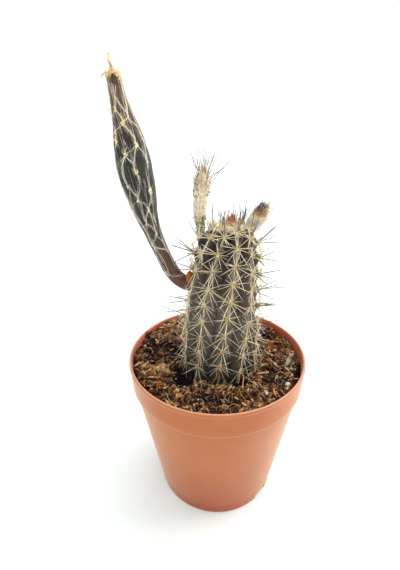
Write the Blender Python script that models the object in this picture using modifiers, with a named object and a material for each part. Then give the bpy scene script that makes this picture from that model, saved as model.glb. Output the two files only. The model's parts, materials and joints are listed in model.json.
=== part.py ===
"""A small columnar cactus in a nursery pot, with a netted seed pod, two woolly buds and a young crown bud.

Blender 4.5, metres, +Z up. The origin is the centre of the pot's flat foot. The netted pod leans out to -X.
Sizes below are in millimetres and are scaled by MM when a mesh is made.
"""

import math
import random

import bmesh
import bpy
import numpy as np
from mathutils import Matrix, Vector

MM = 0.001
WELD = 0.00002
GAP = 0.35

POT_HEIGHT = 50.0
POT_RIM_R = 27.5
POT_FOOT_R = 19.7
POT_WALL = 0.9
POT_FLOOR = 1.0
COLLAR_Z = 41.6
COLLAR_STEP = 0.7
WALL_TOP_R = 26.3
POT_STEPS = 56
SLOT_ANGLES = (-39.0, 141.0)
SLOT_SIZE = (7.0, 5.6, 3.6)
FLOOR_HOLE_R = 2.5
FLOOR_HOLE_PITCH_R = 9.0
FLOOR_HOLE_ANGLES = (30.0, 150.0, 270.0)

SOIL_Z = 46.0
BANK_RISE = 2.0
BANK_FOOT_R = 12.5
BANK_TOP_R = 25.0
SOIL_STEPS = 36
SOIL_RING_R = (9.0, 12.4, 14.8, 17.2, 19.6, 22.0, 24.2)
CHIP_COUNT = 20

RIB_COUNT = 10
# Where the skin's columns stand across one rib: on its crest, beside it and in the valley.
RIB_STOPS = (0.0, 0.17, 0.5, 0.83)
RIB_DEPTH = 1.5
AREOLE_PITCH = 5.12
# Where each rib's areoles stand, as a share of the pitch: the ribs carry them in turn, about half a pitch apart.
AREOLE_STARTS = (0.0, 0.55, 0.1, 0.6, 0.15, 0.7, 0.0, 0.85, 0.52, 0.35)
CROWN_CROWDING = 1.55
AREOLE_BUMP = 0.6
STEM_FOOT_X = 0.8
ROWS_PER_PITCH = 4
FIRST_ROW = 0.75
LAST_ROW = 10.75
# Radius and height of the rib crests, from the crown's tip down to the buried foot.
STEM_PROFILE = (
    (0.0, 90.3), (3.0, 89.9), (5.4, 88.8), (7.2, 86.9), (8.15, 84.5),
    (8.95, 80.2), (9.56, 73.7), (10.05, 66.6), (10.35, 59.4), (10.45, 51.3),
    (10.2, 46.0), (9.6, 42.0), (7.9, 38.6), (5.0, 37.0), (0.0, 36.6),
)
# The stem leans a little to +X: heights, and its axis's place there.
STEM_LEAN = (
    (46.0, 51.3, 59.4, 66.6, 73.7, 80.2, 85.9, 90.3),
    (0.8, 0.94, 1.19, 1.51, 1.97, 2.37, 2.6, 2.75),
)

RADIAL_SPINES = 4
RADIAL_LENGTH = 4.6
RADIAL_RADIUS = 0.2
CENTRAL_LENGTH = 8.5
CENTRAL_RADIUS = 0.26
SPINE_CLEARANCE = 0.75

POD_CELLS = 8
POD_ROWS = 10
CELL_STOPS = (0.0, 0.13, 0.5, 0.87, 1.0)
NET_HEIGHT = 0.3
NET_KNOT = 0.28
# Places and radii along the pod's middle line, from its root on the stem to the mouth of its neck.
POD_LINE = (
    (-9.1, 1.8, 72.8, 2.0), (-10.4, 1.7, 73.6, 2.0), (-11.8, 1.5, 74.9, 1.95), (-13.1, 1.3, 76.8, 1.95),
    (-14.3, 1.2, 79.2, 1.95), (-15.8, 0.9, 83.1, 1.95), (-17.3, 0.6, 87.1, 2.1), (-18.4, 0.3, 90.8, 2.4),
    (-19.3, 0.0, 94.5, 3.0), (-19.9, 0.0, 97.9, 3.65), (-20.5, 0.0, 101.2, 4.1), (-21.1, 0.0, 104.4, 4.3),
    (-21.5, 0.0, 107.5, 4.3), (-21.9, 0.0, 110.5, 4.0), (-22.3, 0.0, 113.5, 3.4), (-22.8, 0.0, 116.3, 2.75),
    (-23.3, 0.0, 119.1, 2.15), (-23.8, 0.0, 121.8, 1.75), (-24.2, 0.0, 124.5, 1.6), (-24.6, 0.0, 126.5, 1.5),
)
POD_STYLE_TIP = (-24.6, 0.0, 130.4)

TALL_BUD_LINE = (
    (-5.0, 4.8, 85.6, 1.0), (-5.4, 5.0, 86.9, 1.2), (-5.4, 5.0, 88.7, 1.4), (-5.2, 4.9, 92.1, 1.55),
    (-4.8, 4.7, 96.4, 1.9), (-4.3, 4.7, 100.3, 2.15), (-4.1, 4.7, 103.4, 1.7), (-4.0, 4.7, 105.9, 0.7),
)
SHORT_BUD_LINE = (
    (8.8, 2.6, 88.65, 1.25), (9.35, 2.6, 89.8, 1.55), (10.1, 2.5, 91.3, 1.75), (11.1, 2.5, 93.0, 1.7),
    (12.1, 2.5, 94.6, 1.45), (13.0, 2.5, 96.1, 0.9),
)
APEX_BUD_LINE = (
    (2.75, 0.0, 90.75, 1.15), (2.9, 0.0, 91.6, 1.25), (3.15, 0.0, 92.9, 0.85), (3.35, 0.0, 93.9, 0.4),
)
KNOB_PLACE = (-7.7, -2.1, 76.4)
KNOB_SIZE = (1.05, 1.2, 1.85)
SLIVER_ENDS = ((21.2, -4.9, 48.2), (24.5, 1.0, 49.1))

PLASTIC = ("terracotta_polypropylene", "#C47A52", 0.5)
PEAT = ("peat_and_bark_mix", "#5A3A22", 0.95)
EPIDERMIS = ("brown_green_cactus_skin", "#4A4338", 0.7)
POD_SKIN = ("dark_pod_skin", "#4B4A3C", 0.55)
WOOL = ("dry_bud_wool", "#CFC0A0", 0.9)
DARK_WOOL = ("grey_tan_bud_wool", "#B89A78", 0.9)
RUST = ("rust_brown_young_spines", "#A85A2C", 0.8)
CORK = ("orange_brown_cork", "#A65A30", 0.8)
DRY_LEAF = ("grey_green_dry_sliver", "#8A9285", 0.8)


def clear_scene():
    for thing in list(bpy.data.objects):
        bpy.data.objects.remove(thing)


def collection(name):
    made = bpy.data.collections.new(name)
    bpy.context.scene.collection.children.link(made)
    return made


def linear(channel):
    return channel / 12.92 if channel <= 0.04045 else ((channel + 0.055) / 1.055) ** 2.4


def material(name, colour, roughness):
    made = bpy.data.materials.new(name)
    made.use_nodes = True
    shader = made.node_tree.nodes["Principled BSDF"]
    rgb = [linear(int(colour[i : i + 2], 16) / 255.0) for i in (1, 3, 5)]
    shader.inputs["Base Color"].default_value = (*rgb, 1.0)
    shader.inputs["Roughness"].default_value = roughness
    shader.inputs["Metallic"].default_value = 0.0
    made.diffuse_color = (*rgb, 1.0)
    return made


def finish(bm, name, home, finish_of=None):
    """Turns a bmesh into a linked, smooth-shaded object with outward faces."""
    bmesh.ops.recalc_face_normals(bm, faces=bm.faces)
    mesh = bpy.data.meshes.new(name)
    bm.to_mesh(mesh)
    bm.free()
    thing = bpy.data.objects.new(name, mesh)
    home.objects.link(thing)
    mesh.shade_smooth()
    mesh.set_sharp_from_angle(angle=math.radians(40))
    if finish_of:
        mesh.materials.append(material(*finish_of))
    return thing


def turned(name, profile, steps, home, finish_of=None):
    """A profile of (radius, height) pairs, down its outer side, turned about Z by a Screw modifier."""
    bm = bmesh.new()
    points = [bm.verts.new((r * MM, 0.0, z * MM)) for r, z in profile]
    for a, b in zip(points, points[1:]):
        bm.edges.new((a, b))
    mesh = bpy.data.meshes.new(name)
    bm.to_mesh(mesh)
    bm.free()
    thing = bpy.data.objects.new(name, mesh)
    home.objects.link(thing)
    screw = thing.modifiers.new("turn", "SCREW")
    screw.steps = screw.render_steps = steps
    screw.use_merge_vertices = True
    screw.merge_threshold = WELD
    graph = bpy.context.evaluated_depsgraph_get()
    thing.data = bpy.data.meshes.new_from_object(thing.evaluated_get(graph))
    thing.modifiers.clear()
    thing.data.shade_smooth()
    thing.data.set_sharp_from_angle(angle=math.radians(40))
    if finish_of:
        thing.data.materials.append(material(*finish_of))
    return thing


def wrapped(name, columns, rows, surface, home, finish_of=None):
    """A grid wrapped round: surface(turn, run) places arrays of 0 to 1, and the seam and poles weld."""
    bm = bmesh.new()
    bmesh.ops.create_grid(bm, x_segments=columns, y_segments=rows, size=0.5)
    flat = np.array([v.co[:2] for v in bm.verts]) + 0.5
    for vertex, place in zip(bm.verts, surface(flat[:, 0], flat[:, 1])):
        vertex.co = place * MM
    bmesh.ops.remove_doubles(bm, verts=bm.verts, dist=WELD)
    return finish(bm, name, home, finish_of)


def needle(name, root, tip, radius, home, sides=3):
    """A slender cone from root to tip, in millimetres."""
    root, tip = Vector(root) * MM, Vector(tip) * MM
    along = tip - root
    bm = bmesh.new()
    bmesh.ops.create_cone(
        bm, cap_ends=True, segments=sides, radius1=radius * MM, radius2=0.0, depth=along.length,
        matrix=Matrix.Translation((root + tip) / 2) @ along.to_track_quat("Z", "Y").to_matrix().to_4x4(),
    )
    bmesh.ops.remove_doubles(bm, verts=bm.verts, dist=WELD / 10)
    return finish(bm, name, home)


def combine(body, operation, pieces, solver="EXACT"):
    """Joins a collection's pieces to the body, or cuts them from it, and removes them."""
    cut = body.modifiers.new(operation.lower(), "BOOLEAN")
    cut.operation = operation
    cut.operand_type = "COLLECTION"
    cut.collection = pieces
    cut.solver = solver
    graph = bpy.context.evaluated_depsgraph_get()
    body.data = bpy.data.meshes.new_from_object(body.evaluated_get(graph))
    body.modifiers.clear()
    for thing in list(pieces.objects):
        bpy.data.objects.remove(thing)
    bpy.data.collections.remove(pieces)


def smooth_line(points, count):
    """A Catmull-Rom curve through the points, sampled at count places evenly spaced in length."""
    p = np.array(points, float)
    p = np.vstack([2 * p[0] - p[1], p, 2 * p[-1] - p[-2]])
    t = np.linspace(0.0, 1.0, 21)[:-1, None]
    spans = []
    for a, b, c, d in zip(p, p[1:], p[2:], p[3:]):
        bend, twist = 2 * a - 5 * b + 4 * c - d, 3 * b - a - 3 * c + d
        spans.append(b + 0.5 * ((c - a) * t + bend * t**2 + twist * t**3))
    fine = np.vstack([*spans, p[-2]])
    length = np.concatenate([[0.0], np.cumsum(np.linalg.norm(np.diff(fine, axis=0), axis=1))])
    at = np.linspace(0.0, length[-1], count)
    return np.stack([np.interp(at, length, fine[:, k]) for k in range(p.shape[1])], axis=1), length[-1]


def tube_frame(line, count=400):
    """Middle line, side and up vectors and radius of a tube whose line holds (x, y, z, radius) points."""
    path, length = smooth_line(line, count)
    along = np.gradient(path[:, :3], axis=0)
    along /= np.linalg.norm(along, axis=1)[:, None]
    side = np.cross(along, (0.0, 1.0, 0.0))
    side /= np.linalg.norm(side, axis=1)[:, None]
    return path[:, :3], side, np.cross(side, along), path[:, 3], length


def on_tube(frame, turn, run, extra=0.0):
    """The point at angle turn (0 to 1) and share run of the tube's length, extra millimetres outside it."""
    middle, side, up, radius, _ = frame
    at = np.clip(run, 0.0, 1.0) * (len(middle) - 1)
    grid = np.arange(len(middle))
    centre, s, u = (np.stack([np.interp(at, grid, a[:, k]) for k in range(3)], axis=1)
                    for a in (middle, side, up))
    r = np.interp(at, grid, radius) + extra
    angle = 2 * math.pi * turn
    return centre + (s * np.cos(angle)[:, None] + u * np.sin(angle)[:, None]) * r[:, None]


def lumps(x, y, seed, size, count=7):
    """Smooth bumps from -1 to 1: a sum of seeded waves about size millimetres long."""
    draw = random.Random(seed)
    total = np.zeros_like(np.asarray(x, float))
    for _ in range(count):
        heading = draw.uniform(0, 2 * math.pi)
        wave = 2 * math.pi / (size * draw.uniform(0.6, 1.6))
        start = draw.uniform(0, 2 * math.pi)
        total += np.sin((x * math.cos(heading) + y * math.sin(heading)) * wave + start)
    return total / math.sqrt(2 * count)


def soil_top(x, y):
    """Height of the peat: lumps, a bank that rises to the wall, most at the back, and a hollow at the stem's
    left front."""
    hollow = np.exp(-(((x + 6.0) / 7.0) ** 2) - ((y + 11.0) / 5.0) ** 2)
    out = np.clip((np.hypot(x, y) - BANK_FOOT_R) / (BANK_TOP_R - BANK_FOOT_R), 0.0, 1.0)
    bank = (BANK_RISE + 0.06 * y) * out * out * (3 - 2 * out)
    bumps = 0.8 * lumps(x, y, 3, 9.0) + 0.6 * lumps(x, y, 8, 4.5)
    return SOIL_Z + bumps - 1.2 * hollow - 0.03 * y + bank


def inner_wall_r(z):
    heights = (POT_FLOOR, COLLAR_Z - 1.0, COLLAR_Z + 0.4, POT_HEIGHT)
    return np.interp(z, heights, (18.8, 25.25, 26.1, 26.6))


def make_pot(home):
    """Thin moulded pot: flat foot, straight flared wall, collar with a small ledge and a rounded lip."""
    wall_top_in = WALL_TOP_R - POT_WALL
    collar_r = WALL_TOP_R + COLLAR_STEP
    profile = (
        (0.0, POT_FLOOR), (18.2, POT_FLOOR), (18.8, 1.7),
        (wall_top_in - 0.1, COLLAR_Z - 1.0), (26.1, COLLAR_Z + 0.4),
        (26.6, POT_HEIGHT - 0.6), (26.75, POT_HEIGHT - 0.15), (27.05, POT_HEIGHT),
        (27.35, POT_HEIGHT - 0.15), (POT_RIM_R, POT_HEIGHT - 0.55), (27.3, POT_HEIGHT - 1.1),
        (collar_r, COLLAR_Z + 0.4), (collar_r - 0.2, COLLAR_Z), (WALL_TOP_R, COLLAR_Z - 0.15),
        (POT_FOOT_R, 0.9), (POT_FOOT_R - 0.25, 0.25), (POT_FOOT_R - 0.8, 0.0), (0.0, 0.0),
    )
    pot = turned("pot", profile, POT_STEPS, home, PLASTIC)
    cutters = collection("drain_cutters")
    for angle in SLOT_ANGLES:
        bm = bmesh.new()
        bmesh.ops.create_cube(bm, size=MM)
        bmesh.ops.scale(bm, vec=SLOT_SIZE, verts=bm.verts)
        bmesh.ops.translate(bm, vec=(POT_FOOT_R * MM, 0.0, 0.0), verts=bm.verts)
        bmesh.ops.rotate(bm, matrix=Matrix.Rotation(math.radians(angle), 3, "Z"), verts=bm.verts)
        finish(bm, "corner_slot", cutters)
    for angle in FLOOR_HOLE_ANGLES:
        bm = bmesh.new()
        spin = Matrix.Rotation(math.radians(angle), 4, "Z")
        bmesh.ops.create_cone(
            bm, cap_ends=True, segments=16, radius1=FLOOR_HOLE_R * MM, radius2=FLOOR_HOLE_R * MM,
            depth=6 * MM, matrix=spin @ Matrix.Translation((FLOOR_HOLE_PITCH_R * MM, 0, 0)),
        )
        finish(bm, "floor_hole", cutters)
    combine(pot, "DIFFERENCE", cutters)
    return pot


def make_soil(home):
    """Peat that fills the pot, lumpy on top, with bark chips and grit, and a plain hole for the stem."""
    top_r = float(inner_wall_r(SOIL_Z)) - GAP
    profile = (
        (0.0, SOIL_Z), *((r, SOIL_Z) for r in SOIL_RING_R), (top_r, SOIL_Z),
        (25.9 - GAP, COLLAR_Z + 0.2), (25.2 - GAP, COLLAR_Z - 1.0), (18.8 - GAP, 2.2),
        (18.1 - GAP, POT_FLOOR + GAP), (0.0, POT_FLOOR + GAP),
    )
    soil = turned("soil", profile, SOIL_STEPS, home, PEAT)
    for vertex in soil.data.vertices:
        if vertex.co.z > (SOIL_Z - 0.1) * MM:
            vertex.co.z = float(soil_top(vertex.co.x / MM, vertex.co.y / MM)) * MM
    draw = random.Random(21)
    chips = collection("soil_chips")
    for _ in range(CHIP_COUNT):
        radius, angle = draw.uniform(13.5, 23.0), draw.uniform(0, 2 * math.pi)
        x, y = radius * math.cos(angle), radius * math.sin(angle)
        size = draw.uniform(1.1, 2.3)
        bm = bmesh.new()
        bmesh.ops.create_icosphere(bm, subdivisions=1, radius=size * MM)
        bmesh.ops.scale(bm, vec=(1.0, draw.uniform(0.5, 0.9), 0.55), verts=bm.verts)
        bmesh.ops.rotate(bm, matrix=Matrix.Rotation(draw.uniform(0, math.pi), 3, "Z"), verts=bm.verts)
        bmesh.ops.translate(bm, vec=Vector((x, y, float(soil_top(x, y)) + 0.1)) * MM, verts=bm.verts)
        finish(bm, "chip", chips)
    combine(soil, "UNION", chips)
    hole_profile = (
        (0.0, 60.0), (10.85, 60.0), (10.85, 48.0), (10.6, 45.6), (10.0, 41.8), (8.4, 38.2),
        (5.4, 36.62 - GAP), (0.0, 36.6 - GAP),
    )
    holes = collection("stem_hole")
    hole = turned("hole", hole_profile, 40, holes)
    hole.location.x = STEM_FOOT_X * MM
    bpy.context.view_layer.update()
    combine(soil, "DIFFERENCE", holes)
    return soil


def profile_table():
    """Fine table of the stem's crest profile: length from the crown's tip, radius and height."""
    path, _ = smooth_line(STEM_PROFILE, 600)
    length = np.concatenate([[0.0], np.cumsum(np.linalg.norm(np.diff(path, axis=0), axis=1))])
    return length, np.maximum(path[:, 0], 0.0), path[:, 1]


PROFILE = profile_table()


def from_crown(row):
    """Length along the profile from the crown's tip to areole row number row: rows crowd near the tip."""
    return AREOLE_PITCH * (row - CROWN_CROWDING * (1 - np.exp(-row / CROWN_CROWDING)))


def stem_axis_x(z):
    return np.interp(z, *STEM_LEAN)


def rib_angle(rib, z):
    """Angle of a rib's line in degrees: ribs lean with height, and crowd or spread a little at the front."""
    lean = -81.5 + 0.46 * (z - 70.0)
    spread = 6.0 * np.exp(-(((z - 70.0) / 6.0) ** 2)) - 10.0 / (1 + np.exp(-(z - 84.5) / 1.2))
    turn = 360.0 / RIB_COUNT * rib
    return lean + turn + spread * np.sin(np.radians(turn))


def stem_point(rib, length, off=0.0):
    """The stem's surface at a rib coordinate, whole on crests, and a length from the crown's tip."""
    table_length, table_r, table_z = PROFILE
    r = np.interp(length, table_length, table_r)
    z = np.interp(length, table_length, table_z)
    fade = np.clip(length / 8.0, 0.0, 1.0) * np.clip((z - 41.0) / 5.0, 0.0, 1.0)
    crest = np.abs(np.cos(math.pi * rib)) ** 0.75
    r = r - RIB_DEPTH * fade * (1 - crest) + off
    angle = np.radians(rib_angle(rib, z))
    return np.stack([stem_axis_x(z) + r * np.cos(angle), r * np.sin(angle), z], axis=-1)


def areole_row_start(rib):
    """Row number of a rib's first areole below the crown's own tuft."""
    start = AREOLE_STARTS[rib]
    return start + 1.0 if start > 0.5 else start + 2.0


def stem_skin(turn, run):
    """The ribbed skin with a raised cushion at each areole: run 0 is the crown's tip, 1 the buried foot."""
    rows = 1 + int((LAST_ROW - FIRST_ROW) * ROWS_PER_PITCH) + 1
    buried = 4
    index = np.rint(run * (rows + buried)).astype(int)
    row = np.where(index == 0, 0.0, FIRST_ROW + (index - 1) / ROWS_PER_PITCH)
    soil_length = from_crown(LAST_ROW)
    share = np.clip((index - rows + 1) / (buried + 1), 0.0, 1.0)
    below = soil_length + share * (PROFILE[0][-1] - soil_length)
    length = np.where(index < rows, from_crown(row), below)
    column = np.rint(turn * RIB_COUNT * len(RIB_STOPS)).astype(int)
    rib = column // len(RIB_STOPS) + np.array(RIB_STOPS)[column % len(RIB_STOPS)]
    whole = column % len(RIB_STOPS) == 0
    start = np.array(AREOLE_STARTS)[np.rint(rib).astype(int) % RIB_COUNT]
    to_areole = np.abs((row - start + 0.5) % 1.0 - 0.5)
    bump = whole & (to_areole < 0.5 / ROWS_PER_PITCH) & (row > 1.2) & (index < rows - 1)
    return stem_point(rib, length, AREOLE_BUMP * bump)


def areoles():
    """Each areole's place, outward, upward and sideways directions, and its row number."""
    found = []
    for rib in range(RIB_COUNT):
        row = areole_row_start(rib)
        while row <= LAST_ROW - 0.25:
            length = float(from_crown(row))
            here = stem_point(float(rib), length)
            above = stem_point(float(rib), length - 0.6)
            up = Vector(above - here).normalized()
            z = here[2]
            outward = Vector((here[0] - float(stem_axis_x(z)), here[1], 0.0)).normalized()
            side = up.cross(outward).normalized()
            outward = side.cross(up).normalized()
            if z > SOIL_Z + 1.2:
                found.append((Vector(here), outward, up, side, row))
            row += 1.0
    return found


def beads(root, tip, radius, step=0.35):
    """Points with a radius along a straight piece, to test what lies clear of it."""
    root, tip = np.array(root, float), np.array(tip, float)
    count = max(2, int(np.linalg.norm(tip - root) / step) + 1)
    t = np.linspace(0.0, 1.0, count)[:, None]
    return np.hstack([root + (tip - root) * t, np.full((count, 1), radius)])


def tube_beads(frame):
    middle, _, _, radius, _ = frame
    return np.hstack([middle[::3], radius[::3, None]])


def stands_clear(root, tip, others):
    """True if a spine from root to tip stays clear of the beads."""
    mine = beads(root, tip, 0.0)[:, :3]
    apart = np.linalg.norm(mine[:, None] - others[None, :, :3], axis=2) - others[None, :, 3]
    return apart.min() > SPINE_CLEARANCE


def spine_plan(others):
    """Roots, tips and radii of the spines: radial ones lie low over the ribs, central ones stand out."""
    draw = random.Random(12)
    plan = []
    for place, outward, up, side, row in areoles():
        seat = place + outward * (AREOLE_BUMP * 0.55)
        offset = draw.uniform(20.0, 70.0)
        young = min(1.0, 0.45 + row / 6.0)
        for n in range(RADIAL_SPINES):
            angle = math.radians(offset + n * 360.0 / RADIAL_SPINES + draw.uniform(-14.0, 14.0))
            low = up * math.cos(angle) + side * math.sin(angle)
            rise = math.radians(draw.uniform(16.0, 34.0))
            heading = (low * math.cos(rise) + outward * math.sin(rise)).normalized()
            length = RADIAL_LENGTH * young * draw.uniform(0.85, 1.15)
            root = seat + low * 0.3 - outward * 0.75
            plan.append((root, seat + heading * length, RADIAL_RADIUS))
        tilt = math.radians(draw.uniform(-22.0, 24.0))
        swing = math.radians(draw.uniform(-18.0, 18.0))
        heading = (outward * math.cos(tilt) + up * math.sin(tilt) + side * math.sin(swing)).normalized()
        if row < 3.2:
            heading = (heading + Vector((0.0, 0.0, 1.1))).normalized()
        length = CENTRAL_LENGTH * draw.uniform(0.6, 1.1) * (0.75 if row > 8 else 1.0)
        plan.append((seat - outward * 0.9, seat + heading * length, CENTRAL_RADIUS))
    kept = []
    for root, tip, radius in plan:
        floor = float(soil_top(tip.x, tip.y)) + 1.9
        if tip.z < floor and math.hypot(tip.x, tip.y) > 10.0:
            tip = Vector((tip.x, tip.y, floor))
        if stands_clear(seat_side(root, tip), tip, others):
            kept.append((root, tip, radius))
    return kept


def seat_side(root, tip):
    """The spot where a spine leaves the skin, a little way up from its sunken root."""
    return root + (tip - root).normalized() * 0.9


def make_stem(home, others):
    rows = 1 + int((LAST_ROW - FIRST_ROW) * ROWS_PER_PITCH) + 1
    stem = wrapped("stem", RIB_COUNT * len(RIB_STOPS), rows + 4, stem_skin, home, EPIDERMIS)
    spines = collection("spines")
    for root, tip, radius in spine_plan(others):
        needle("spine", root, tip, radius, spines)
    combine(stem, "UNION", spines)
    return stem


def net_relief(a, b):
    """Height of the pod's net above its skin: a ridge on every whole a or b, a knot where both meet."""
    width = CELL_STOPS[1]
    near_a, near_b = np.abs(a - np.rint(a)), np.abs(b - np.rint(b))
    ridge = np.clip(1 - np.minimum(near_a, near_b) / width, 0.0, 1.0)
    knot = np.clip(1 - np.maximum(near_a, near_b) / width, 0.0, 1.0)
    swell = np.sin(math.pi * (a % 1.0)) * np.sin(math.pi * (b % 1.0))
    return NET_HEIGHT * ridge + NET_KNOT * knot + 0.12 * swell


def pod_point(frame, a, b):
    """The pod's skin at net coordinates: a and b each count strands of one lean, and cells are long."""
    run = np.clip((a + b) / POD_ROWS, 0.0, 1.0)
    ease = 0.1 * (np.sin(2 * math.pi * b) - np.sin(2 * math.pi * a))
    wander = 0.16 * np.sin(1.7 * (a + b) + 0.9) * np.sin(2 * math.pi * (a - b) / (2 * POD_CELLS) * 3)
    turn = (a - b + ease + wander) / (2 * POD_CELLS)
    fade = np.clip(run * 12.0, 0.0, 1.0) * np.clip((1 - run) * 12.0, 0.0, 1.0)
    return on_tube(frame, turn, run, net_relief(a, b) * fade)


def make_pod(home, frame):
    """The spindle pod: its cells as small welded grids, cut off at both ends, capped, with a dry style."""
    bm = bmesh.new()
    stops = np.array(CELL_STOPS)
    for row in range(-1, POD_ROWS):
        for cell in range(POD_CELLS):
            first_a, first_b = float(cell), float(row - cell)
            before = set(bm.verts)
            bmesh.ops.create_grid(bm, x_segments=len(stops) - 1, y_segments=len(stops) - 1, size=0.5)
            patch = [v for v in bm.verts if v not in before]
            flat = np.array([v.co[:2] for v in patch]) + 0.5
            index = np.rint(flat * (len(stops) - 1)).astype(int)
            a, b = first_a + stops[index[:, 0]], first_b + stops[index[:, 1]]
            total = dict(zip(patch, np.round(a + b, 6)))
            outside = []
            for face in list({f for v in patch for f in v.link_faces}):
                spread = sorted(total[v] for v in face.verts)
                for end in (0.0, float(POD_ROWS)):
                    ends = [v for v in face.verts if total[v] == end]
                    if spread[0] < end < spread[-1]:
                        half, _ = bmesh.utils.face_split(face, ends[0], ends[1])
                        beyond = {f: sum(total[v] - end for v in f.verts) for f in (face, half)}
                        outside += [f for f in (face, half) if (beyond[f] > 0.0) == (end > 0.0)]
                if spread[0] >= POD_ROWS or spread[-1] <= 0.0:
                    outside.append(face)
            for vertex, place in zip(patch, pod_point(frame, a, b)):
                vertex.co = place * MM
            bmesh.ops.delete(bm, geom=outside, context="FACES")
    bmesh.ops.remove_doubles(bm, verts=bm.verts, dist=WELD)
    bmesh.ops.dissolve_degenerate(bm, edges=bm.edges, dist=WELD / 10)
    bmesh.ops.holes_fill(bm, edges=bm.edges, sides=0)
    pod = finish(bm, "seed_pod", home, POD_SKIN)
    mouth = frame[0][-1]
    dry = collection("dry_mouth")
    for n in range(5):
        angle = 2 * math.pi * n / 5
        out = np.array([math.cos(angle), math.sin(angle), 0.0])
        tip = mouth + out * 1.9 + (0, 0, 1.0 + 0.3 * (n % 3))
        needle("mouth_scale", mouth + out * 0.95 - (0, 0, 0.9), tip, 0.45, dry, 4)
    needle("style", mouth - (0, 0, 1.5), POD_STYLE_TIP, 0.75, dry, 5)
    for n in range(3):
        angle = 2 * math.pi * (n / 3 + 0.07)
        out = np.array([math.cos(angle), math.sin(angle), 0.0])
        root = np.array(POD_STYLE_TIP) - (0.0, 0.0, 2.1 + 0.23 * n)
        tip = np.array(POD_STYLE_TIP) + out * 1.1 - (0, 0, 0.4 + 0.3 * n)
        needle("frayed_end", root, tip, 0.17, dry)
    combine(pod, "UNION", dry)
    return pod


def hairs(frame, draw, count, first, last, length, lean, spread=0.0):
    """Roots and tips of hairs on a bud: evenly turned round it, lying towards its tip and lifting off it."""
    middle, _, _, _, _ = frame
    found = []
    for n in range(count):
        run = first + (last - first) * (n + 0.5) / count
        turn = (n * 0.381966 + draw.uniform(-0.03, 0.03)) % 1.0
        skin = on_tube(frame, np.array([turn]), np.array([run]))[0]
        at = min(int(run * (len(middle) - 1)), len(middle) - 2)
        centre = middle[at]
        along = middle[at + 1] - middle[at]
        along = along / np.linalg.norm(along)
        out = (skin - centre) / np.linalg.norm(skin - centre)
        heading = along + out * (lean + spread * draw.random())
        heading = heading / np.linalg.norm(heading)
        found.append((skin - out * 0.55 - along * 0.3, skin + heading * length * draw.uniform(0.8, 1.1)))
    return found


def bud_core(name, columns, rows, frame, home, finish_of):
    """A slim spindle with a lightly scaled skin, closed at both ends."""

    def skin(turn, run):
        inner = np.clip((run * rows - 1) / (rows - 2), 0.0, 1.0)
        closed = np.where((run < 0.5 / rows) | (run > 1 - 0.5 / rows), 0.0, 1.0)
        ripple = 0.12 * np.sin(2 * math.pi * (turn * columns / 2 + run * rows / 2))
        ring = on_tube(frame, turn, inner, ripple)
        opposite = on_tube(frame, turn + 0.5, inner, ripple)
        centre = (ring + opposite) / 2
        return centre + (ring - centre) * closed[:, None]

    return wrapped(name, columns, rows, skin, home, finish_of)


def make_bud(name, home, frame, columns, rows, hair_list, hair_radius, finish_of):
    bud = bud_core(name, columns, rows, frame, home, finish_of)
    wool = collection(name + "_wool")
    for root, tip in hair_list:
        needle("hair", root, tip, hair_radius, wool)
    combine(bud, "UNION", wool)
    return bud


def make_knob(home):
    """The corky button beside the pod's root, pressed against a rib."""
    bm = bmesh.new()
    bmesh.ops.create_uvsphere(bm, u_segments=12, v_segments=7, radius=MM)
    bmesh.ops.scale(bm, vec=KNOB_SIZE, verts=bm.verts)
    angle = math.atan2(KNOB_PLACE[1], KNOB_PLACE[0] - float(stem_axis_x(KNOB_PLACE[2])))
    bmesh.ops.rotate(bm, matrix=Matrix.Rotation(angle, 3, "Z"), verts=bm.verts)
    bmesh.ops.translate(bm, vec=Vector(KNOB_PLACE) * MM, verts=bm.verts)
    return finish(bm, "corky_knob", home, CORK)


def make_sliver(home):
    """A dry grey-green sliver that lies on the peat near the right of the rim."""
    low, high = (Vector(end) * MM for end in SLIVER_ENDS)
    bm = bmesh.new()
    bmesh.ops.create_uvsphere(bm, u_segments=8, v_segments=6, radius=0.5)
    bmesh.ops.scale(bm, vec=(1.7 * MM, 0.9 * MM, (high - low).length), verts=bm.verts)
    turn = (high - low).to_track_quat("Z", "Y").to_matrix().to_4x4()
    bmesh.ops.transform(bm, matrix=Matrix.Translation((low + high) / 2) @ turn, verts=bm.verts)
    return finish(bm, "dry_sliver", home, DRY_LEAF)


def main():
    clear_scene()
    plant = collection("potted_cactus")
    draw = random.Random(11)
    pod_frame, tall_frame = tube_frame(POD_LINE), tube_frame(TALL_BUD_LINE)
    short_frame, apex_frame = tube_frame(SHORT_BUD_LINE), tube_frame(APEX_BUD_LINE)
    tall_hairs = hairs(tall_frame, draw, 44, 0.28, 0.9, 4.2, 0.16, 0.15)
    tall_hairs += hairs(tall_frame, draw, 18, 0.86, 0.985, 6.2, 0.35, 0.45)
    short_hairs = hairs(short_frame, draw, 30, 0.12, 0.95, 3.6, 0.3, 0.35)
    apex_hairs = hairs(apex_frame, draw, 14, 0.2, 0.9, 2.6, 0.25, 0.3)
    others = [tube_beads(f) for f in (pod_frame, tall_frame, short_frame, apex_frame)]
    others += [beads(root, tip, 0.1) for root, tip in tall_hairs + short_hairs + apex_hairs]
    others.append(np.array([[*KNOB_PLACE, max(KNOB_SIZE)]]))
    make_pot(plant)
    make_soil(plant)
    make_stem(plant, np.vstack(others))
    make_pod(plant, pod_frame)
    make_bud("tall_bud", plant, tall_frame, 10, 12, tall_hairs, 0.17, WOOL)
    make_bud("short_bud", plant, short_frame, 10, 9, short_hairs, 0.17, DARK_WOOL)
    make_bud("apex_bud", plant, apex_frame, 8, 7, apex_hairs, 0.17, RUST)
    make_knob(plant)
    make_sliver(plant)


main()
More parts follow.
